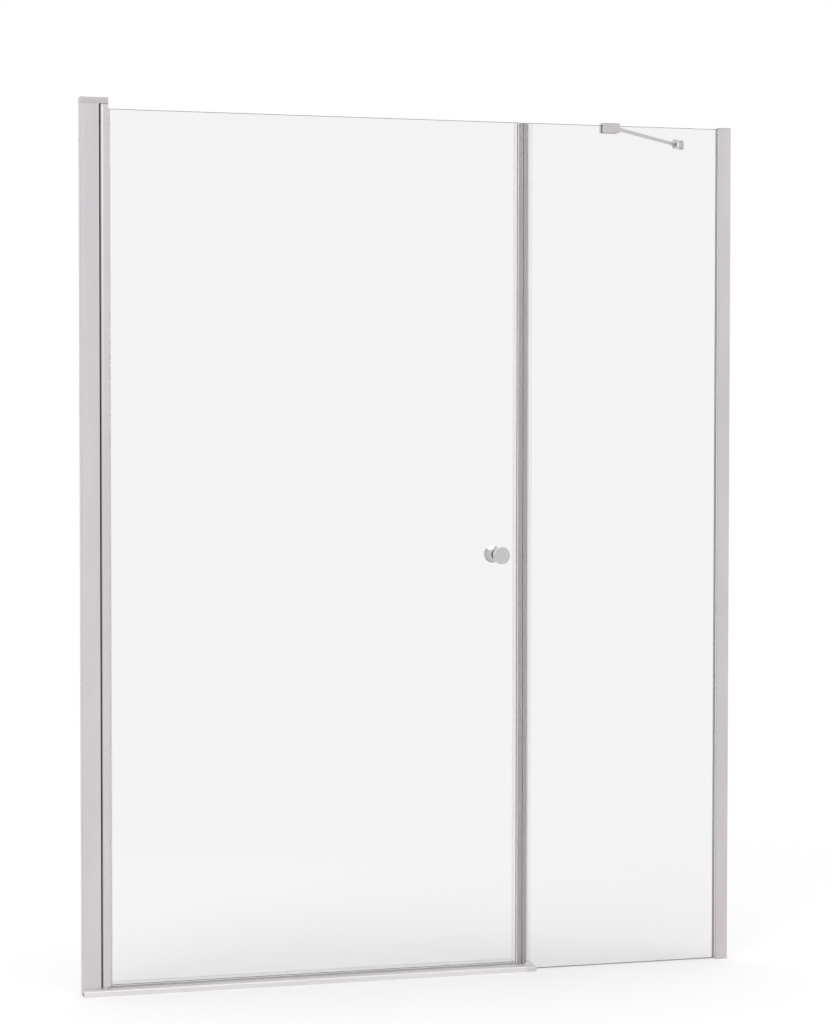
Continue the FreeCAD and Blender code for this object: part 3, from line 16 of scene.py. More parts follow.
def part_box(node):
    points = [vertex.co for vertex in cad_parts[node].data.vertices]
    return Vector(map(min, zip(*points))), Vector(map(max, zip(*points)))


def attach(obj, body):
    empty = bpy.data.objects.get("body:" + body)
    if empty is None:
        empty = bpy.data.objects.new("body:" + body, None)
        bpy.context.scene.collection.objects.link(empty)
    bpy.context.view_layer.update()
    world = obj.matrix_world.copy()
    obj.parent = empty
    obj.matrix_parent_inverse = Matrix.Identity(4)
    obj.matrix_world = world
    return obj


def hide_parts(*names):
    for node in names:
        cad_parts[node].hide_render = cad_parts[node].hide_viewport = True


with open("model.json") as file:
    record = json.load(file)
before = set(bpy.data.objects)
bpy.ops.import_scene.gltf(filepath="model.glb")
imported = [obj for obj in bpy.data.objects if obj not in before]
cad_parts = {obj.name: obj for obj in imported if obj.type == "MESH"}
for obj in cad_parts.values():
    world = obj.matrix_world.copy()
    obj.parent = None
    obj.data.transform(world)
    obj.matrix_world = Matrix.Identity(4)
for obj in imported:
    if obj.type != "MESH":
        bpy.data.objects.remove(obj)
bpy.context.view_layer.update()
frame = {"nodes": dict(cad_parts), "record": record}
MM = 0.001

# ---------------------------------------------------------------- sizes


class Span:
    """The lowest and highest place of a node on each axis, in millimetres."""

    def __init__(self, node):
        low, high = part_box(node)
        self.x0, self.y0, self.z0 = np.array(low) / MM
        self.x1, self.y1, self.z1 = np.array(high) / MM


JAMB = Span("pivot_jamb")
STILE = Span("pivot_stile")
TOP_BLOCK = Span("top_pivot_block")
LOW_BLOCK = Span("bottom_pivot_block")
RAIL = Span("sill_rail")
END_CAP = Span("sill_end_cap")
DOOR_GLASS = Span("door_glass")
PANEL_GLASS = Span("panel_glass")
FAR = Span("far_wall_channel")
FAR_CAP = Span("far_channel_cap")
KNOB = Span("outer_knob")

EDGE = 1.0  # round on the outer corners of the profiles
BREAK = 0.35  # round on the hidden corners at the sides and the back, only just broken
MOUTH = 0.3  # round on the edges of a slot's or a clip's mouth
GLASS = DOOR_GLASS.y1  # thickness of the panes, whose outer face is Y = 0
PIN_INSET = 8.0  # from the stile's outer faces to the axis of the pins
PIVOT = (STILE.x0 + PIN_INSET, STILE.y0 + PIN_INSET)
PIN_BORE = 3.05  # radius of the stile's bore for the pins
PROFILE_WALL = 2.0  # thickness of the walls of the jamb and the far channel
WEB = (25.0, 27.0)  # the wall inside the jamb
WEB_ROOT = 0.5  # round in the corners beside that wall
SEAL_GROOVE = (8.0, 12.0, 1.2)  # front and back of the groove, and its depth
GROOVE_EDGE = 0.15  # round on the edges of the groove
SLOT = (-1.55, 9.55, 6.2)  # front, back and depth of the stile's slot for the glass
TONGUE = 12.0  # height of the lower block's tongue, which stands inside the jamb
BLOCK_FACE = LOW_BLOCK.z1 - TONGUE  # top of the lower block's plate
BLOCK_ROUND = 0.8  # round on the upper and lower edges of the pivot blocks
BLOCK_SINK = (2.9, 2.4)  # radius and depth of the counterbores in the pivot blocks
SCREW_HEAD = 2.6  # radius of the heads in them, which a screw's box reaches past its axis


# ---------------------------------------------------------------- mesh builders


MERGE = 2e-6  # metres between vertices that become one
SLIVER = 1e-7  # metres, below which an edge is taken out
BORE_POINTS = 40  # points round a bore, in the face that it cuts and down its wall
LEAST_COSINE = 0.4  # so that a sharp corner moves by two and a half times the inset at most


class Shape:
    """Collects vertices and faces in whole arrays, and makes one closed mesh of them."""

    def __init__(self):
        self.points = []
        self.faces = []
        self.count = 0

    def add(self, points, faces):
        """Adds vertices, and faces that count from the first of them."""
        self.points.append(np.asarray(points, float).reshape(-1, 3))
        self.faces += [tuple(int(i) + self.count for i in face) for face in faces]
        self.count += len(self.points[-1])

    def grid(self, points, wrap=False, flip=False):
        """A surface P(u, v): rows along u, columns along v. Each face joins four neighbours,
        and where the columns wrap, the last one joins the first."""
        rows, columns = points.shape[:2]
        index = np.arange(rows * columns).reshape(rows, columns)
        if wrap:
            index = np.concatenate([index, index[:, :1]], axis=1)
        corners = [index[:-1, :-1], index[:-1, 1:], index[1:, 1:], index[1:, :-1]]
        quads = np.stack(corners[::-1] if flip else corners, axis=-1).reshape(-1, 4)
        self.add(points, quads.tolist())

    def cover(self, loops, flip=False):
        """A flat face with holes: the first loop is its outline, the others are the holes."""
        triangles = tessellate_polygon([[Vector(p) for p in loop] for loop in loops])
        self.add(np.concatenate(loops), [t[::-1] if flip else t for t in triangles])

    def build(self, name, *materials, smooth=38.0, choose=None):
        """The finished object. Vertices closer than two thousandths of a millimetre are merged,
        so seams and poles are closed, and normals are turned outwards. Edges that turn by more
        than smooth degrees are sharp. choose gives each face its material by its normal."""
        mesh = bpy.data.meshes.new(name)
        mesh.from_pydata((np.concatenate(self.points) * MM).tolist(), [], self.faces)
        work = bmesh.new()
        work.from_mesh(mesh)
        bmesh.ops.remove_doubles(work, verts=work.verts, dist=MERGE)
        bmesh.ops.dissolve_degenerate(work, edges=work.edges, dist=SLIVER)
        bmesh.ops.recalc_face_normals(work, faces=work.faces)
        work.to_mesh(mesh)
        work.free()
        for material in materials:
            mesh.materials.append(material)
        if choose is not None:
            normals = np.zeros(len(mesh.polygons) * 3)
            mesh.polygons.foreach_get("normal", normals)
            picked = choose(normals.reshape(-1, 3))
            mesh.polygons.foreach_set("material_index", picked.astype(np.int32))
        mesh.polygons.foreach_set("use_smooth", np.ones(len(mesh.polygons), bool))
        mesh.set_sharp_from_angle(angle=math.radians(smooth))
        piece = bpy.data.objects.new(name, mesh)
        bpy.context.collection.objects.link(piece)
        return piece


def rounded(corners, steps=6):
    """A closed outline through (a, b, radius) corners. Each round corner is an arc that
    touches both of its sides: its centre lies on the corner's bisector, radius divided by
    the sine of half the angle away."""
    corners = np.array(corners, float)
    spots, radii = corners[:, :2], corners[:, 2]
    runs = []
    for before, here, after, radius in zip(
        np.roll(spots, 1, 0), spots, np.roll(spots, -1, 0), radii
    ):
        if radius == 0:
            runs.append(here[None])
            continue
        back = (before - here) / np.linalg.norm(before - here)
        ahead = (after - here) / np.linalg.norm(after - here)
        half = math.acos(np.clip(back @ ahead, -1, 1)) / 2
        middle = (back + ahead) / np.linalg.norm(back + ahead)
        centre = here + middle * radius / math.sin(half)
        first = here + back * radius / math.tan(half) - centre
        last = here + ahead * radius / math.tan(half) - centre
        turn = math.atan2(first[0] * last[1] - first[1] * last[0], first @ last)
        angle = math.atan2(first[1], first[0]) + turn * np.linspace(0, 1, steps + 1)
        runs.append(centre + radius * np.stack([np.cos(angle), np.sin(angle)], axis=1))
    return np.concatenate(runs)


def circle(a, b, radius, count=BORE_POINTS):
    """A round outline: a + radius cos t, b + radius sin t."""
    angle = np.linspace(0, 2 * math.pi, count, endpoint=False)
    return np.stack([a + radius * np.cos(angle), b + radius * np.sin(angle)], axis=1)


def on_axis(outline, station, axis):
    """Puts an outline at a station along X, Y or Z. Its own two coordinates go to the other
    two axes, in the order X, Y, Z."""
    outline = np.asarray(outline, float)
    along = np.full(len(outline), float(station))
    columns = {
        "x": (along, outline[:, 0], outline[:, 1]),
        "y": (outline[:, 0], along, outline[:, 1]),
        "z": (outline[:, 0], outline[:, 1], along),
    }[axis]
    return np.stack(columns, axis=1)


def inward(outline):
    """The step into the outline at each point that moves both of its sides in by one: square
    to the mean of their directions, and one over the cosine of half the turn long."""
    following = np.roll(outline, -1, 0)
    ahead = following - outline
    ahead /= np.linalg.norm(ahead, axis=1, keepdims=True)
    mean = ahead + np.roll(ahead, 1, 0)
    mean /= np.maximum(np.linalg.norm(mean, axis=1, keepdims=True), 1e-9)
    cosine = np.clip(np.sum(mean * ahead, axis=1, keepdims=True), LEAST_COSINE, 1)
    area = np.sum(outline[:, 0] * following[:, 1] - outline[:, 1] * following[:, 0])
    return np.stack([-mean[:, 1], mean[:, 0]], axis=1) / cosine * math.copysign(1, area)


def end_rounds(low, high, radius, steps=4):
    """Stations along a path with a quarter round at each end, as (station, inset) pairs: the
    inset is radius (1 - sin t) where the station is radius (1 - cos t) from the end."""
    angle = np.linspace(0, math.pi / 2, steps + 1)
    along = radius * (1 - np.cos(angle))
    inset = radius * (1 - np.sin(angle))
    ends = [(low + a, i) for a, i in zip(along, inset)]
    return ends + [(high - a, i) for a, i in zip(along[::-1], inset[::-1])]


def extrusion(shape, outline, axis, stations, holes=(), caps=(True, True)):
    """An outline carried along an axis. At each (station, inset) the outline is moved inwards
    by the inset. The ends are flat faces, with the holes running through both."""
    into = inward(outline)
    rings = [on_axis(outline + into * inset, station, axis) for station, inset in stations]
    shape.grid(np.stack(rings), wrap=True)
    ends = (stations[0][0], stations[-1][0])
    for hole in holes:
        shape.grid(np.stack([on_axis(hole, end, axis) for end in ends]), wrap=True)
    for wanted, ring, end in zip(caps, (rings[0], rings[-1]), ends):
        if wanted:
            shape.cover([ring, *(on_axis(hole, end, axis) for hole in holes)])


# ---------------------------------------------------------------- material helpers


def srgb(code):
    """A linear colour with full alpha from an sRGB hex code."""
    values = [int(code[i : i + 2], 16) / 255 for i in (1, 3, 5)]
    return [v / 12.92 if v <= 0.04045 else ((v + 0.055) / 1.055) ** 2.4 for v in values] + [1.0]


MIX_FACTOR, MIX_FIRST, MIX_SECOND, MIX_RESULT = 0, 6, 7, 2  # sockets of a colour mix
NOISE_LOW, NOISE_HIGH = 0.32, 0.68  # nearly all of a noise's values lie between these


class Finish:
    """A material with a Principled shader, and a short way to add nodes to it. Its settings
    are the shader's sockets, with an underscore for each space."""

    def __init__(self, name, **settings):
        self.material = bpy.data.materials.new(name)
        self.material.use_nodes = True
        self.tree = self.material.node_tree
        self.shader = self.tree.nodes["Principled BSDF"]
        self.output = self.tree.nodes["Material Output"]
        for socket, value in settings.items():
            self.shader.inputs[socket.replace("_", " ")].default_value = value

    def plain(self, code):
        """One base colour, from an sRGB code."""
        self.shader.inputs["Base Color"].default_value = srgb(code)

    def add(self, kind, inputs=(), **settings):
        """Adds a node, sets its properties, then sets or links its inputs."""
        node = self.tree.nodes.new(kind)
        for key, value in settings.items():
            setattr(node, key, value)
        for socket, value in dict(inputs).items():
            if isinstance(value, bpy.types.NodeSocket):
                self.tree.links.new(value, node.inputs[socket])
            else:
                node.inputs[socket].default_value = value
        return node

    def feed(self, socket, source):
        """Links a node's output to a socket of the shader."""
        self.tree.links.new(source, self.shader.inputs[socket])

    def noise(self, size, detail=2.0):
        """Noise whose cells are size = (x, y, z) millimetres on the piece."""
        place = self.add("ShaderNodeTexCoord").outputs["Object"]
        scale = tuple(1 / (s * MM) for s in size)
        spread = self.add("ShaderNodeMapping", {"Vector": place, "Scale": scale})
        settings = {"Vector": spread.outputs["Vector"], "Scale": 1.0, "Detail": detail}
        return self.add("ShaderNodeTexNoise", settings).outputs["Fac"]

    def between(self, source, low, high):
        """A noise value spread between two numbers."""
        span = {"Value": source, "From Min": NOISE_LOW, "From Max": NOISE_HIGH}
        span.update({"To Min": low, "To Max": high})
        return self.add("ShaderNodeMapRange", span).outputs["Result"]

    def tint(self, source, dark, light):
        """A base colour between two sRGB codes, by a noise value."""
        share = self.between(source, 0, 1)
        sockets = {MIX_FACTOR: share, MIX_FIRST: srgb(dark), MIX_SECOND: srgb(light)}
        mix = self.add("ShaderNodeMix", sockets, data_type="RGBA")
        self.feed("Base Color", mix.outputs[MIX_RESULT])

    def sheen(self, source, low, high):
        """A roughness between two numbers, by a noise value."""
        self.feed("Roughness", self.between(source, low, high))

    def relief(self, *layers):
        """Bump from (height, depth in millimetres) layers, each on top of the last."""
        normal = None
        for height, depth in layers:
            sockets = {"Height": height, "Strength": 1.0, "Distance": depth * MM}
            if normal is not None:
                sockets["Normal"] = normal
            normal = self.add("ShaderNodeBump", sockets).outputs["Normal"]
        self.feed("Normal", normal)


# ---------------------------------------------------------------- materials

# Sizes of patterns are in millimetres on the piece. Real draw lines are 0.1 to 0.2 mm apart,
# and an etched, blasted or spark-eroded grain, metal flake and ferrite powder are finer than
# 0.1 mm. All of these are too fine to show in the render, so they are drawn 0.3 to 0.8 mm wide,
# as coarse as they need to show. Clouds, haze, ripple and the waviness of glass are as real.


def anodised_aluminium(name, run, dark, light, mirror):
    """Aluminium drawn through a die, etched and anodised bright silver. The eye sees a soft
    satin sheen, faint lines along the length and hardly any change of tone. The more it is
    etched, the smaller is the part that mirrors, and the whiter the rest under a high lamp."""
    finish = Finish(name, Metallic=mirror, Specular_IOR_Level=0.5 * mirror)
    lines = finish.noise({"x": (180, 0.8, 0.8), "z": (0.8, 0.8, 180)}[run], 3.0)
    etch = finish.noise((0.5, 0.5, 0.5))
    clouds = finish.noise({"x": (260, 70, 70), "z": (70, 70, 260)}[run])
    finish.tint(clouds, dark, light)
    finish.sheen(lines, 0.29, 0.37)
    finish.relief((lines, 0.004), (etch, 0.0015))
    return finish.material


def lacquered_casting():
    """Pressure die-cast zinc with a silver lacquer: metal flake under a thin clear coat, with
    a little of the casting's ripple."""
    finish = Finish("lacquered_casting", Metallic=0.9, Coat_Weight=0.25, Coat_Roughness=0.22)
    flake = finish.noise((0.35, 0.35, 0.35), 3.0)
    ripple = finish.noise((9, 9, 9))
    finish.tint(flake, "#BAB5B8", "#C7C2C5")
    finish.sheen(flake, 0.33, 0.43)
    finish.relief((ripple, 0.02), (flake, 0.003))
    return finish.material


def polished_chrome():
    """Brass turned, buffed and bright chromed: a near mirror, with the faint haze and rings
    that buffing leaves."""
    finish = Finish("polished_chrome", Metallic=1.0)
    haze = finish.noise((6, 6, 6), 3.0)
    rings = finish.noise((0.6, 30, 0.6))
    finish.tint(haze, "#C3C1C4", "#C9C7CA")
    finish.sheen(haze, 0.05, 0.10)
    finish.relief((rings, 0.0006))
    return finish.material


def satin_chrome():
    """Machined brass, blasted and chromed: a soft metal sheen with a fine even grain."""
    finish = Finish("satin_chrome", Metallic=1.0)
    grain = finish.noise((0.3, 0.3, 0.3))
    haze = finish.noise((12, 12, 12))
    finish.tint(haze, "#C3BEC1", "#CAC5C8")
    finish.sheen(haze, 0.22, 0.30)
    finish.relief((grain, 0.0007))
    return finish.material


def stainless_steel():
    """Cold-formed stainless screws and turned pins, tumbled: duller and darker than chrome,
    with turning marks."""
    finish = Finish("stainless_steel", Metallic=1.0)
    marks = finish.noise((0.4, 0.4, 2.5), 3.0)
    finish.tint(marks, "#9E9C9D", "#B2B0B1")
    finish.sheen(marks, 0.22, 0.4)
    finish.relief((marks, 0.003))
    return finish.material


def silver_plastic(name, dark, light):
    """ABS moulded in silver grey in a spark-eroded tool: an even fine grain, matt, with faint
    flow clouds in the pigment."""
    finish = Finish(name)
    grain = finish.noise((0.35, 0.35, 0.35))
    flow = finish.noise((14, 14, 14))
    finish.tint(flow, dark, light)
    finish.sheen(grain, 0.36, 0.5)
    finish.relief((grain, 0.006))
    return finish.material


def acetal():
    """Machined acetal, natural white: waxy, with fine turning rings."""
    deep = 2 * MM  # how far light goes into it
    finish = Finish("acetal", Subsurface_Weight=0.15, Subsurface_Radius=(deep, deep, deep))
    rings = finish.noise((1.5, 1.5, 0.3))
    finish.tint(rings, "#E0DED8", "#E8E6E2")
    finish.sheen(rings, 0.32, 0.44)
    finish.relief((rings, 0.004))
    return finish.material


def pale_rubber():
    """Extruded grey rubber: matt, with a dusty bloom and faint draw lines along Z."""
    finish = Finish("pale_rubber")
    bloom = finish.noise((4, 4, 30), 3.0)
    lines = finish.noise((0.5, 0.5, 60))
    finish.tint(bloom, "#CAC6C8", "#D4D0D2")
    finish.sheen(bloom, 0.55, 0.7)
    finish.relief((lines, 0.006))
    return finish.material


def bonded_magnet():
    """Flexible ferrite strip, cut to length: dull grey, with a powdery grain."""
    finish = Finish("bonded_magnet")
    grain = finish.noise((0.4, 0.4, 0.9), 3.0)
    finish.tint(grain, "#BEBABD", "#C8C4C7")
    finish.sheen(grain, 0.5, 0.62)
    finish.relief((grain, 0.006))
    return finish.material


def clear_pvc(name, run, clarity):
    """Extruded clear PVC with a soft gloss and faint draw lines along its length. A thin clip
    is see-through; a rubber-like lip is milky, so that part of the light stays in its body."""
    finish = Finish(name, IOR=1.4, Transmission_Weight=clarity)
    finish.plain("#FBFAFB")
    lines = finish.noise({"x": (120, 0.7, 0.7), "z": (0.7, 0.7, 120)}[run])
    finish.sheen(lines, 0.06, 0.14)
    finish.relief((lines, 0.003))
    return finish.material


GLASS_BODY = "#C9CAC9"  # tint of the light that goes along inside a pane
GLASS_DENSITY = 32.0  # scale of the absorption, so that an 8 mm pane takes about a tenth
GLASS_WAVER = 0.004  # how far the roughness of glass wanders


def float_glass(name, colour, roughness, clarity):
    """Toughened clear float glass: colourless face on and darker where the sight line runs
    along it, with the very slight waviness that toughening leaves. Its ground edges are
    frosted and stop part of the light, and the dark grey given to them is painted shade for
    the darker surroundings that they mirror, so the eye sees them as thin dark lines."""
    finish = Finish(name, IOR=1.5, Transmission_Weight=clarity)
    finish.plain(colour)
    wave = finish.noise((90, 90, 90))
    finish.sheen(wave, roughness, roughness + GLASS_WAVER)
    finish.relief((wave, 0.004))
    inside = {"Color": srgb(GLASS_BODY), "Density": GLASS_DENSITY}
    volume = finish.add("ShaderNodeVolumeAbsorption", inside)
    finish.tree.links.new(volume.outputs["Volume"], finish.output.inputs["Volume"])
    return finish.material


UPRIGHT = anodised_aluminium("anodised_upright", "z", "#CDC8CB", "#D3CED1", 1.0)
# The far channel and the fixed pane's edge profile take a darker copy of the uprights' anodised
# finish: the darker tone is painted shade.
FAR_UPRIGHT_SHADED = anodised_aluminium("anodised_far_upright_painted_shade", "z", "#C7C2C5", "#CDC8CB", 1.0)
LYING = anodised_aluminium("anodised_rail", "x", "#DDDADC", "#E3E0E2", 0.3)
CASTING = lacquered_casting()
CHROME = polished_chrome()
SATIN = satin_chrome()
STEEL = stainless_steel()
PLASTIC = silver_plastic("silver_plastic", "#B8B3B6", "#C1BCBF")
PALE_PLASTIC = silver_plastic("pale_silver_plastic", "#CDC9CC", "#D6D2D5")
ACETAL = acetal()
RUBBER = pale_rubber()
MAGNET = bonded_magnet()
CLEAR_UP = clear_pvc("clear_pvc_upright", "z", 1.0)
CLEAR_LYING = clear_pvc("clear_pvc_lying", "x", 1.0)
LIP = clear_pvc("clear_pvc_lip", "z", 0.75)
MILKY = clear_pvc("milky_pvc", "z", 0.1)
GLASS_FACE = float_glass("float_glass", "#FFFFFF", 0.0, 1.0)
# Frosted ground edges; their dark grey is painted shade for the darker surroundings that they
# mirror.
ARRIS_PAINTED_SHADE = float_glass("ground_arris_painted_shade", "#7F8482", 0.22, 0.5)

SLOT_FINISH = {
    "silver_anodised": UPRIGHT,
    "silver_cast": CASTING,
    "silver_plastic": PLASTIC,
    "polished_chrome": CHROME,
    "satin_chrome": SATIN,
    "stainless_steel": STEEL,
    "clear_glass": GLASS_FACE,
    "clear_pvc": CLEAR_UP,
    "magnet_grey": MAGNET,
    "pale_grey_rubber": RUBBER,
    "acetal": ACETAL,
}
OWN_FINISH = {
    "door_drip_seal": CLEAR_LYING,
    "panel_sill_seal": CLEAR_LYING,
    "panel_glazing_rubber": MILKY,
    "brace_clamp_pads": MILKY,
    "stile_glazing_rubber": LIP,
    # the darker far-upright finish is painted shade
    "panel_edge_profile": FAR_UPRIGHT_SHADED,
}
SLOT_OF = {row["node"]: row["material_slot"] for row in frame["record"]["subparts"]}

for node_name, node in frame["nodes"].items():
    look = OWN_FINISH.get(node_name, SLOT_FINISH[SLOT_OF[node_name]])
    node.data.materials.clear()
    node.data.materials.append(look)


def fit(piece, body, *nodes):
    """Lets a piece stand for its nodes, which it hides, and ride on their body."""
    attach(piece, body)
    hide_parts(*nodes)


# ---------------------------------------------------------------- pivot side


def jamb():
    """The upright: its section carried along Z. Below the top of the lower block's plate every
    point is held at the wall inside the jamb, x(u) = min(x, web), which leaves the notch."""
    web_in, web_out = WEB
    fore, rear, deep = SEAL_GROOVE
    outline = rounded(
        [
            (JAMB.x0, JAMB.y0, BREAK),
            (web_out, JAMB.y0, 0),
            (JAMB.x1, JAMB.y0, EDGE),
            (JAMB.x1, fore, GROOVE_EDGE),
            (JAMB.x1 - deep, fore, 0),
            (JAMB.x1 - deep, rear, 0),
            (JAMB.x1, rear, GROOVE_EDGE),
            (JAMB.x1, JAMB.y1, BREAK),
            (web_out, JAMB.y1, 0),
            (JAMB.x0, JAMB.y1, BREAK),
            (JAMB.x0, JAMB.y1 - PROFILE_WALL, 0),
            (web_in, JAMB.y1 - PROFILE_WALL, WEB_ROOT),
            (web_in, JAMB.y0 + PROFILE_WALL, WEB_ROOT),
            (JAMB.x0, JAMB.y0 + PROFILE_WALL, 0),
        ]
    )
    notched = np.stack([np.minimum(outline[:, 0], web_out), outline[:, 1]], axis=1)
    rings = [
        on_axis(notched, JAMB.z0, "z"),
        on_axis(notched, BLOCK_FACE, "z"),
        on_axis(outline, BLOCK_FACE, "z"),
        on_axis(outline, JAMB.z1, "z"),
    ]
    shape = Shape()
    shape.grid(np.stack(rings), wrap=True)
    shape.cover([rings[0]])
    shape.cover([rings[-1]])
    fit(shape.build("jamb_upright", UPRIGHT), "frame", "pivot_jamb")


def stile():
    """The turning upright: its section carried along Z, with the corner beside the jamb round
    about the axis of the pins and the slot for the glass on the right."""
    swing = PIVOT[0] - STILE.x0
    slot_front, slot_back, slot_depth = SLOT
    mouth = STILE.x1 - slot_depth
    outline = rounded(
        [
            (STILE.x0, STILE.y0, swing),
            (STILE.x1, STILE.y0, EDGE),
            (STILE.x1, slot_front, MOUTH),
            (mouth, slot_front, 0),
            (mouth, slot_back, 0),
            (STILE.x1, slot_back, MOUTH),
            (STILE.x1, STILE.y1, EDGE),
            (STILE.x0, STILE.y1, EDGE),
        ],
        steps=14,
    )
    shape = Shape()
    bore = circle(*PIVOT, PIN_BORE)
    extrusion(shape, outline, "z", [(STILE.z0, 0), (STILE.z1, 0)], [bore])
    fit(shape.build("stile_upright", UPRIGHT), "door", "pivot_stile")


def block_outline(left):
    """A pivot block in plan, with the jamb's and the stile's own corner rounds."""
    front, back, right = JAMB.y0, JAMB.y1, TOP_BLOCK.x1
    return rounded(
        [(left, front, BREAK), (right, front, EDGE), (right, back, EDGE), (left, back, BREAK)]
    )


def well(shape, a, b, face, floor):
    """A counterbore: (radius, height) pairs carried round its axis, x = a + radius cos t and
    y = b + radius sin t. Its flat floor ends in a pole, where the points become one."""
    angle = np.linspace(0, 2 * math.pi, BORE_POINTS, endpoint=False)
    radius = np.array([BLOCK_SINK[0], BLOCK_SINK[0], 0.0])[:, None]
    x = a + radius * np.cos(angle)
    y = b + radius * np.sin(angle)
    z = np.broadcast_to(np.array([face, floor, floor])[:, None], x.shape)
    shape.grid(np.stack([x, y, z], axis=-1), wrap=True)


def pivot_block(name, node, low, high, sunk_from_top):
    """A cast block: its plan carried along Z with a soft round at the top and the bottom, and
    two counterbores over its screws in one face."""
    outline = block_outline(Span(node).x0)
    into = inward(outline)
    stations = end_rounds(low, high, BLOCK_ROUND)
    rings = [on_axis(outline + into * inset, station, "z") for station, inset in stations]
    shape = Shape()
    shape.grid(np.stack(rings), wrap=True)
    screws = Span(node.replace("pivot_block", "block_screws"))
    axes = [
        (screws.x0 + SCREW_HEAD, screws.y1 - SCREW_HEAD),
        (screws.x1 - SCREW_HEAD, screws.y0 + SCREW_HEAD),
    ]
    radius, depth = BLOCK_SINK
    face, floor = (high, high - depth) if sunk_from_top else (low, low + depth)
    wells = [on_axis(circle(*axis, radius), face, "z") for axis in axes]
    shape.cover([rings[0], *([] if sunk_from_top else wells)])
    shape.cover([rings[-1], *(wells if sunk_from_top else [])])
    for axis in axes:
        well(shape, *axis, face, floor)
    fit(shape.build(name, CASTING), "frame", node)


jamb()
stile()
pivot_block("top_block_casting", "top_pivot_block", JAMB.z1, TOP_BLOCK.z1, True)
pivot_block("bottom_block_casting", "bottom_pivot_block", LOW_BLOCK.z0, BLOCK_FACE, False)


# ---------------------------------------------------------------- panes


ARRIS = 0.6  # chamfer ground on every edge of a pane
DUB = 2.0  # small round on a pane's corners
KNOB_HOLE = 6.0  # radius of the hole for the knobs' stud
HOLE_POINTS = 48
FLAT_FACE = 0.99  # a face whose normal has at least this share of Y is clear, not ground


def ground(normals):
    """One for the chamfers and the narrow edges of a pane, and zero for its clear faces."""
    return (np.abs(normals[:, 1]) < FLAT_FACE).astype(int)


def pane(name, body, node, hole=None):
    """A toughened pane: a rectangle with dubbed corners carried along Y, moved in by the arris
    at both faces. The chamfers and the narrow edge are ground, the faces are clear."""
    span = Span(node)
    x0, x1, z0, z1 = span.x0, span.x1, span.z0, span.z1
    outline = rounded([(x0, z0, DUB), (x1, z0, DUB), (x1, z1, DUB), (x0, z1, DUB)], steps=5)
    stations = [(0, ARRIS), (ARRIS, 0), (GLASS - ARRIS, 0), (GLASS, ARRIS)]
    holes = [] if hole is None else [circle(*hole, HOLE_POINTS)]
    shape = Shape()
    extrusion(shape, outline, "y", stations, holes)
    # The chamfers and narrow edges take the frosted edge finish, whose dark grey is painted
    # shade.
    piece = shape.build(name, GLASS_FACE, ARRIS_PAINTED_SHADE, smooth=20.0, choose=ground)
    fit(piece, body, node)


KNOB_AXIS = ((KNOB.x0 + KNOB.x1) / 2, (KNOB.z0 + KNOB.z1) / 2)
pane("door_pane", "door", "door_glass", (*KNOB_AXIS, KNOB_HOLE))
pane("panel_pane", "frame", "panel_glass")


# ---------------------------------------------------------------- magnetic strips


CLIP_SKIN = 1.2  # thickness of the legs on the glass
CLIP_ROUND = 1.5  # round on the head
CLIP_LEG = 9.0  # how far the legs reach over the glass
CLIP_PLAY = 0.05  # from the glass's edge to the clip
MAGNET_SKIN = (1.4, 0.9)  # glass edge to the cavity, and cavity to the meeting face
MAGNET_SIDE = 0.9  # the head's wall in front of the cavity and behind it


def strip_clip(name, body, node, side):
    """A clear clip: two legs on the glass and a rounded head round the magnet's cavity,
    carried along Z. side is 1 where the head stands to the right of the glass."""
    span = Span(node)
    leg_end, meet = (span.x0, span.x1) if side > 0 else (span.x1, span.x0)
    root = leg_end + side * (CLIP_LEG + CLIP_PLAY)
    front, back = span.y0, span.y1
    near, far = front + CLIP_SKIN, back - CLIP_SKIN
    outline = rounded(
        [
            (leg_end, front, MOUTH),
            (meet, front, CLIP_ROUND),
            (meet, back, CLIP_ROUND),
            (leg_end, back, MOUTH),
            (leg_end, far, MOUTH),
            (root, far, 0),
            (root, near, 0),
            (leg_end, near, MOUTH),
        ]
    )
    start = root - side * CLIP_PLAY + side * MAGNET_SKIN[0]
    end = meet - side * MAGNET_SKIN[1]
    fore, rear = front + MAGNET_SIDE, back - MAGNET_SIDE
    cavity = np.array([(start, fore), (end, fore), (end, rear), (start, rear)])
    shape = Shape()
    extrusion(shape, outline, "z", [(span.z0, 0), (span.z1, 0)], [cavity])
    fit(shape.build(name, CLEAR_UP), body, node)


strip_clip("door_strip_extrusion", "door", "door_strip_clip", 1)
strip_clip("panel_strip_extrusion", "frame", "panel_strip_clip", -1)


# ---------------------------------------------------------------- rail and its end cap


NOTCH_PLAY = 0.3  # between the rail's notch and the uprights that stand in it
NOTCH_X = STILE.x1 + NOTCH_PLAY  # up to here the rail is cut away behind NOTCH_Y
NOTCH_Y = JAMB.y0 - NOTCH_PLAY
NOSE = 3.5  # radius of the rail's front
NOSE_POINTS = 12
NOSE_TOP = 12.5
RAIL_TOP = 13.0
RAIL_WALL = 2.0
LEVEL_FROM = -RAIL_WALL  # behind here the rail's top is level
DAM = (13.4, 15.6, 14.8)  # front, back and top of the water bar
SPLIT = (-3.0, -1.0)  # the wall between the rail's two chambers


def nose_height(y):
    """The top of the rail in front of the glass: a fall of half a millimetre to the nose, and
    a quarter circle down to the front."""
    slope = (RAIL_TOP - NOSE_TOP) / (LEVEL_FROM - RAIL.y0 - NOSE)
    flat = NOSE_TOP + slope * (y - RAIL.y0 - NOSE)
    inside = np.clip(RAIL.y0 + NOSE - y, 0, NOSE)
    return np.minimum(flat, RAIL_TOP) - NOSE + np.sqrt(NOSE**2 - inside**2)


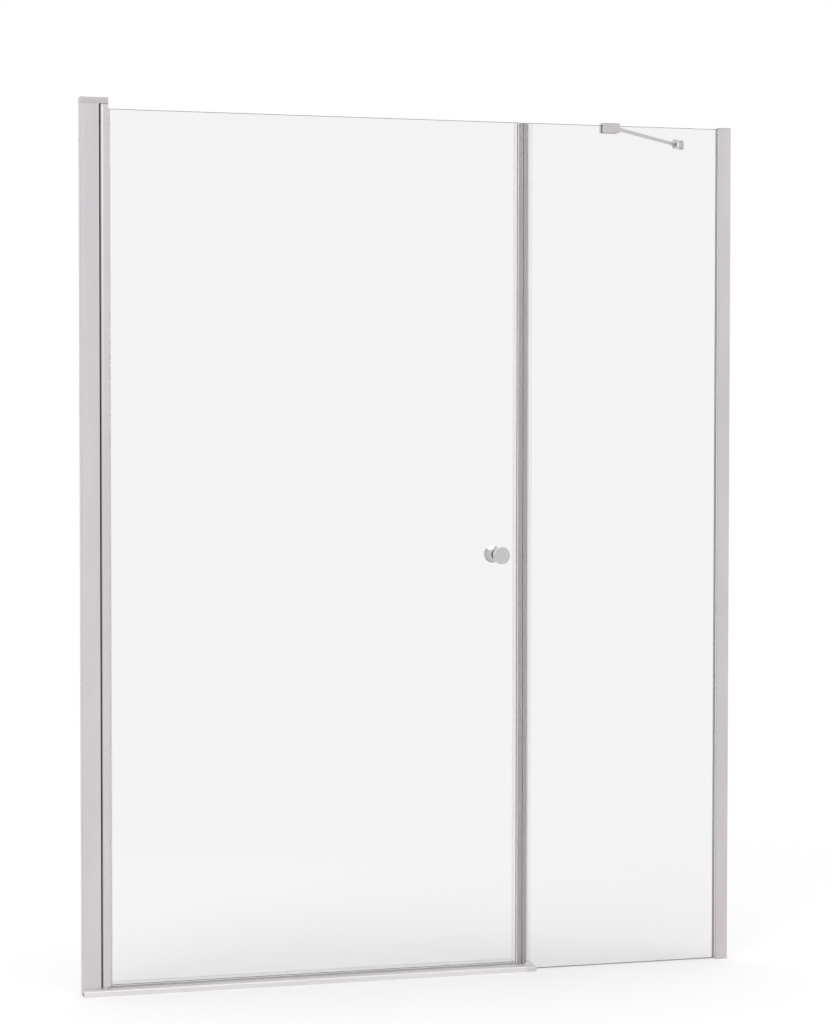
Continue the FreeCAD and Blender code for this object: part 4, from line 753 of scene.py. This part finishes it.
def rail():
    """The low rail: its section carried along X. In front of the uprights only the nose runs
    on, as a channel that is open towards them, and a step face closes the rest."""
    y = RAIL.y0 + NOSE * (1 - np.cos(np.linspace(0, math.pi / 2, NOSE_POINTS)))
    nose = np.stack([y, nose_height(y)], axis=1)
    cut = [NOTCH_Y, float(nose_height(np.array(NOTCH_Y)))]
    roof = NOSE_TOP - RAIL_WALL
    inner = RAIL.y0 + RAIL_WALL
    dam_front, dam_back, dam_top = DAM
    rear_end = RAIL.y1 - RAIL_WALL
    split_front, split_back = SPLIT
    pocket = [
        (NOTCH_Y, RAIL_WALL),
        (split_front, RAIL_WALL),
        (split_front, roof),
        (NOTCH_Y, roof),
    ]
    front_chamber = np.array([(inner, RAIL_WALL), *pocket, (inner, roof)])
    rear_chamber = np.array(
        [(split_back, RAIL_WALL), (rear_end, RAIL_WALL), (rear_end, roof), (split_back, roof)]
    )
    behind = [
        (LEVEL_FROM, RAIL_TOP),
        (dam_front, RAIL_TOP),
        (dam_front, dam_top),
        (dam_back, dam_top),
        (dam_back, RAIL_TOP),
        (RAIL.y1, RAIL_TOP),
        (RAIL.y1, 0),
        (NOTCH_Y, 0),
    ]
    whole = np.concatenate([[(RAIL.y0, 0)], nose, [cut], behind])
    inside = [(NOTCH_Y, roof), (inner, roof), (inner, RAIL_WALL), (NOTCH_Y, RAIL_WALL)]
    channel = np.concatenate([[(RAIL.y0, 0)], nose, [cut], inside, [(NOTCH_Y, 0)]])
    shape = Shape()
    extrusion(shape, channel, "x", [(RAIL.x0, 0), (NOTCH_X, 0)], caps=(True, False))
    chambers = [front_chamber, rear_chamber]
    extrusion(shape, whole, "x", [(NOTCH_X, 0), (RAIL.x1, 0)], chambers, caps=(False, True))
    step = np.array([cut, *behind, *pocket])
    shape.cover([on_axis(step, NOTCH_X, "x"), on_axis(rear_chamber, NOTCH_X, "x")])
    fit(shape.build("rail_extrusion", LYING, smooth=30.0), "frame", "sill_rail")


rail()

CAP_PLAY = 0.3  # between the end cap and the edge of the fixed pane
FULL_END = PANEL_GLASS.x0 - CAP_PLAY  # the end cap is full width up to here
CAP_BACK = -1.7  # back of the end cap's front part, just ahead of the pane
CAP_LAP = 0.4  # how far the rear part reaches into the front one
CAP_POINTS = 44  # points along each way of the end cap's long runs
ARCH = (END_CAP.z1, 11.4, 11.0)  # top, radius and depth of the arch
ARCH_RISE = (1.6, 4.0)  # length over which the arch rises at its front, and its height there
ARCH_BLEND = (0.8, 0.35)  # width of the blend with the nose, and the share of it taken off
HAIR = 0.01  # keeps the square root real at the arch's rim
TOE = 3.0  # round at the end cap's far end


def end_cap_height(x, y):
    """The moulded top: the higher of the rail's own nose and an arch along X, blended where
    they meet, and rolled off in a quarter circle at the far end."""
    top, radius, depth = ARCH
    centre = (RAIL.x1 + END_CAP.x1) / 2
    off = np.clip(np.abs(x - centre), 0, radius - HAIR)
    arch = top - radius + np.sqrt(radius**2 - off**2)
    length, foot = ARCH_RISE
    fade = np.clip((y - (CAP_BACK - depth)) / length, 0, 1)
    swell = np.sqrt(1 - (1 - fade) ** 2)
    arch = arch * swell + (1 - swell) * foot
    base = nose_height(y)
    blend, taken = ARCH_BLEND
    height = (base + arch + np.sqrt((base - arch) ** 2 + blend**2) - blend * taken) / 2
    height = np.minimum(height, top)
    inside = np.clip(x - (END_CAP.x1 - TOE), 0, TOE)
    return height - TOE + np.sqrt(np.maximum(TOE**2 - inside**2, 0))


def crowded(low, high, end, count):
    """Places from low to high that crowd together at one end: 1 - cos t of the way at the low
    end, and sin t of the way at the high one, with t up to a quarter turn."""
    turn = math.pi / 2 * np.linspace(0, 1, count)
    share = np.sin(turn) if end == "high" else 1 - np.cos(turn)
    return low + (high - low) * share


def height_block(shape, x, y, height):
    """A closed block under a height z(x, y): the top grid, its edges brought straight down to
    the floor, and a flat underside."""
    grid_x, grid_y = np.meshgrid(x, y, indexing="ij")
    top = np.stack([grid_x, grid_y, height(grid_x, grid_y)], axis=-1)
    shape.grid(top)
    edges = [top[:, 0], top[-1, :], top[::-1, -1], top[0, ::-1]]
    around = np.concatenate([edge[:-1] for edge in edges])
    floor = around * (1, 1, 0)
    shape.grid(np.stack([around, floor]), wrap=True, flip=True)
    shape.cover([floor])


def end_cap():
    """The moulded end of the rail: one block that carries on the rail's nose and rises in an
    arch against the pane, and a second one behind it that fills the rail's width."""
    nose_end = RAIL.y0 + NOSE
    toe_start = END_CAP.x1 - TOE
    nose = crowded(RAIL.y0, nose_end, "low", count=10)
    toe = crowded(toe_start, END_CAP.x1, "high", count=12)
    y = np.concatenate([nose[:-1], np.linspace(nose_end, CAP_BACK, CAP_POINTS)])
    x = np.concatenate([np.linspace(RAIL.x1, toe_start, CAP_POINTS)[:-1], toe])
    shape = Shape()
    height_block(shape, x, y, end_cap_height)
    rear_x = np.array([RAIL.x1, FULL_END])
    rear_y = np.array([CAP_BACK - CAP_LAP, RAIL.y1])
    height_block(shape, rear_x, rear_y, lambda a, b: np.full(a.shape, RAIL_TOP))
    fit(shape.build("end_cap_moulding", PALE_PLASTIC), "frame", "sill_end_cap")


end_cap()


# ---------------------------------------------------------------- far channel


FIXING_HEIGHTS = (80.0, 680.0, 1280.0, 1880.0)  # of the holes that fix the channel
FIXING_HOLE = 2.5  # their radius
FIXING_HOLE_POINTS = 24
FAR_CAP_ROUND = 0.6  # round on the cap's upper and lower edges
FAR_CAP_SIDE = 0.2  # round on its corners at the far side


def far_channel():
    """The deep U that takes the fixed pane's edge profile, carried along Z. The two faces of
    its web are flat, with four round holes between them for the fixing screws."""
    web = FAR.x1 - PROFILE_WALL
    front, back = FAR.y0 + PROFILE_WALL, FAR.y1 - PROFILE_WALL
    outline = rounded(
        [
            (FAR.x0, FAR.y0, EDGE),
            (FAR.x1, FAR.y0, 0),
            (FAR.x1, FAR.y1, 0),
            (FAR.x0, FAR.y1, EDGE),
            (FAR.x0, back, MOUTH),
            (web, back, 0),
            (web, front, 0),
            (FAR.x0, front, MOUTH),
        ]
    )
    rings = np.stack([on_axis(outline, z, "z") for z in (FAR.z0, FAR.z1)])
    shape = Shape()
    start = int(np.argmin(np.abs(outline - (FAR.x1, FAR.y0)).sum(1)))
    inner = int(np.argmin(np.abs(outline - (web, back)).sum(1)))
    turned = np.roll(rings, -start - 1, axis=1)
    split = (inner - start) % len(outline)
    shape.grid(turned[:, :split])
    shape.grid(turned[:, split:])
    middle = (FAR.y0 + FAR.y1) / 2
    spots = [circle(middle, z, FIXING_HOLE, FIXING_HOLE_POINTS) for z in FIXING_HEIGHTS]
    for face, low, high in ((FAR.x1, FAR.y0, FAR.y1), (web, front, back)):
        edge = np.array([(low, FAR.z0), (high, FAR.z0), (high, FAR.z1), (low, FAR.z1)])
        shape.cover([on_axis(edge, face, "x"), *(on_axis(spot, face, "x") for spot in spots)])
    for spot in spots:
        shape.grid(np.stack([on_axis(spot, web, "x"), on_axis(spot, FAR.x1, "x")]), wrap=True)
    for ring in rings:
        shape.cover([ring])
    fit(shape.build("far_channel_extrusion", FAR_UPRIGHT_SHADED), "frame", "far_wall_channel")


far_channel()


def far_cap():
    """The cap plate: its plan carried along Z with soft rounds."""
    outline = rounded(
        [
            (FAR_CAP.x0, FAR_CAP.y0, EDGE),
            (FAR_CAP.x1, FAR_CAP.y0, FAR_CAP_SIDE),
            (FAR_CAP.x1, FAR_CAP.y1, FAR_CAP_SIDE),
            (FAR_CAP.x0, FAR_CAP.y1, EDGE),
        ]
    )
    shape = Shape()
    extrusion(shape, outline, "z", end_rounds(FAR.z1, FAR_CAP.z1, FAR_CAP_ROUND))
    fit(shape.build("far_cap_moulding", PLASTIC), "frame", "far_channel_cap")


far_cap()


# ---------------------------------------------------------------- studio


CAMERA_PLACE = (-0.912, -5.8073, 1.2629)  # metres
CAMERA_DIP, CAMERA_ROLL, CAMERA_TURN = 0.0334, -0.001, -0.28114  # radians
SENSOR_HEIGHT = 36.0
LENS = 93.56
CLIP = (0.05, 200.0)  # metres


def camera():
    """The photograph's camera, fitted to the edges of the two panes and the uprights."""
    data = bpy.data.cameras.new("camera")
    data.sensor_fit = "VERTICAL"
    data.sensor_height = SENSOR_HEIGHT
    data.lens = LENS
    data.clip_start, data.clip_end = CLIP
    view = bpy.data.objects.new("camera", data)
    view.location = CAMERA_PLACE
    view.rotation_euler = Euler((math.pi / 2 - CAMERA_DIP, CAMERA_ROLL, CAMERA_TURN), "XYZ")
    bpy.context.collection.objects.link(view)
    bpy.context.scene.camera = view


def seen(finish):
    """One for rays from the camera, off gloss or through glass, and zero for the rest."""
    path = finish.add("ShaderNodeLightPath").outputs
    gloss = {0: path["Is Camera Ray"], 1: path["Is Glossy Ray"]}
    either = finish.add("ShaderNodeMath", gloss, operation="MAXIMUM").outputs[0]
    through = {0: either, 1: path["Is Transmission Ray"]}
    return finish.add("ShaderNodeMath", through, operation="MAXIMUM").outputs[0]


FLOOR_CENTRE = (0.755, 0.0)  # X and Y; all lengths of the floor are in metres
FLOOR_OUTER = (12.0, 60.0)  # radii of the floor's last two rings
FADE_FROM, FADE_TO = 0.9, 2.6  # where the floor starts and ends its fade to white
FLOOR_WHITE = 0.25  # share of the background's white in the floor near the object
FLOOR_RINGS, FLOOR_SPOKES = 10, 96


def studio_floor():
    """A round pale floor. Its material fades with the distance from the middle, sqrt(x² + y²),
    to the white of the background. Near the object it is a matt paint that takes shadows, with
    a part of that white in it."""
    rings = np.concatenate([np.linspace(0, FADE_TO, FLOOR_RINGS)[1:], FLOOR_OUTER])
    angle = np.linspace(0, 2 * math.pi, FLOOR_SPOKES, endpoint=False)
    x = FLOOR_CENTRE[0] + rings[:, None] * np.cos(angle)
    y = FLOOR_CENTRE[1] + rings[:, None] * np.sin(angle)
    points = np.stack([x, y, np.zeros_like(x)], axis=-1) / MM
    shape = Shape()
    shape.grid(points, wrap=True)
    shape.cover([points[0]])
    finish = Finish("studio_paint", Roughness=0.9, Specular_IOR_Level=0.0)
    finish.plain("#FBFAFB")
    place = finish.add("ShaderNodeTexCoord").outputs["Object"]
    centred = {0: place, 1: (-FLOOR_CENTRE[0], -FLOOR_CENTRE[1], 0.0)}
    offset = finish.add("ShaderNodeVectorMath", centred, operation="ADD").outputs[0]
    away = finish.add("ShaderNodeVectorMath", {0: offset}, operation="LENGTH").outputs["Value"]
    span = {"Value": away, "From Min": FADE_FROM, "From Max": FADE_TO, "To Min": FLOOR_WHITE}
    fade = finish.add("ShaderNodeMapRange", span, interpolation_type="SMOOTHSTEP")
    white = finish.add("ShaderNodeEmission", {"Color": srgb("#FFFFFF"), "Strength": 1.0})
    both = {0: fade.outputs["Result"], 1: seen(finish)}
    share = finish.add("ShaderNodeMath", both, operation="MULTIPLY").outputs[0]
    mixed = {0: share, 1: finish.shader.outputs[0], 2: white.outputs[0]}
    mix = finish.add("ShaderNodeMixShader", mixed)
    finish.tree.links.new(mix.outputs[0], finish.output.inputs["Surface"])
    shape.build("studio_floor", finish.material)


class WorldFinish(Finish):
    """The same short way to add nodes, for the world."""

    def __init__(self, name):
        self.material = bpy.data.worlds.new(name)
        self.material.use_nodes = True
        self.tree = self.material.node_tree
        self.shader = self.tree.nodes["Background"]


WORLD_LEVEL = 0.74  # strength of the white world for light that falls on the object
LAMPS = (  # name, place, point it looks at, width in metres, power in watts
    ("key", (-2.6, -4.2, 4.2), (0.8, 0.0, 0.9), 4.0, 70.0),
    ("overhead", (0.8, 0.2, 4.6), (0.8, 0.19, 0.0), 5.0, 85.0),
    ("fill", (4.6, -2.6, 2.6), (0.8, 0.0, 0.9), 3.0, 14.0),
)


def studio_light():
    """An even white world with three large soft lamps: high on the left in front, overhead,
    and a weak one on the right. Where the world itself is seen, it is plain white."""
    world = WorldFinish("studio")
    world.shader.inputs["Color"].default_value = srgb("#FFFFFF")
    span = {"Value": seen(world), "To Min": WORLD_LEVEL, "To Max": 1.0}
    level = world.add("ShaderNodeMapRange", span)
    world.feed("Strength", level.outputs["Result"])
    bpy.context.scene.world = world.material
    for name, place, aim, size, power in LAMPS:
        data = bpy.data.lights.new(name, "AREA")
        data.shape, data.size, data.energy = "DISK", size, power
        lamp = bpy.data.objects.new(name, data)
        lamp.location = place
        lamp.rotation_euler = (Vector(aim) - Vector(place)).to_track_quat("-Z", "Y").to_euler()
        bpy.context.collection.objects.link(lamp)


camera()
studio_floor()
studio_light()
bpy.context.scene.view_settings.view_transform = "Standard"
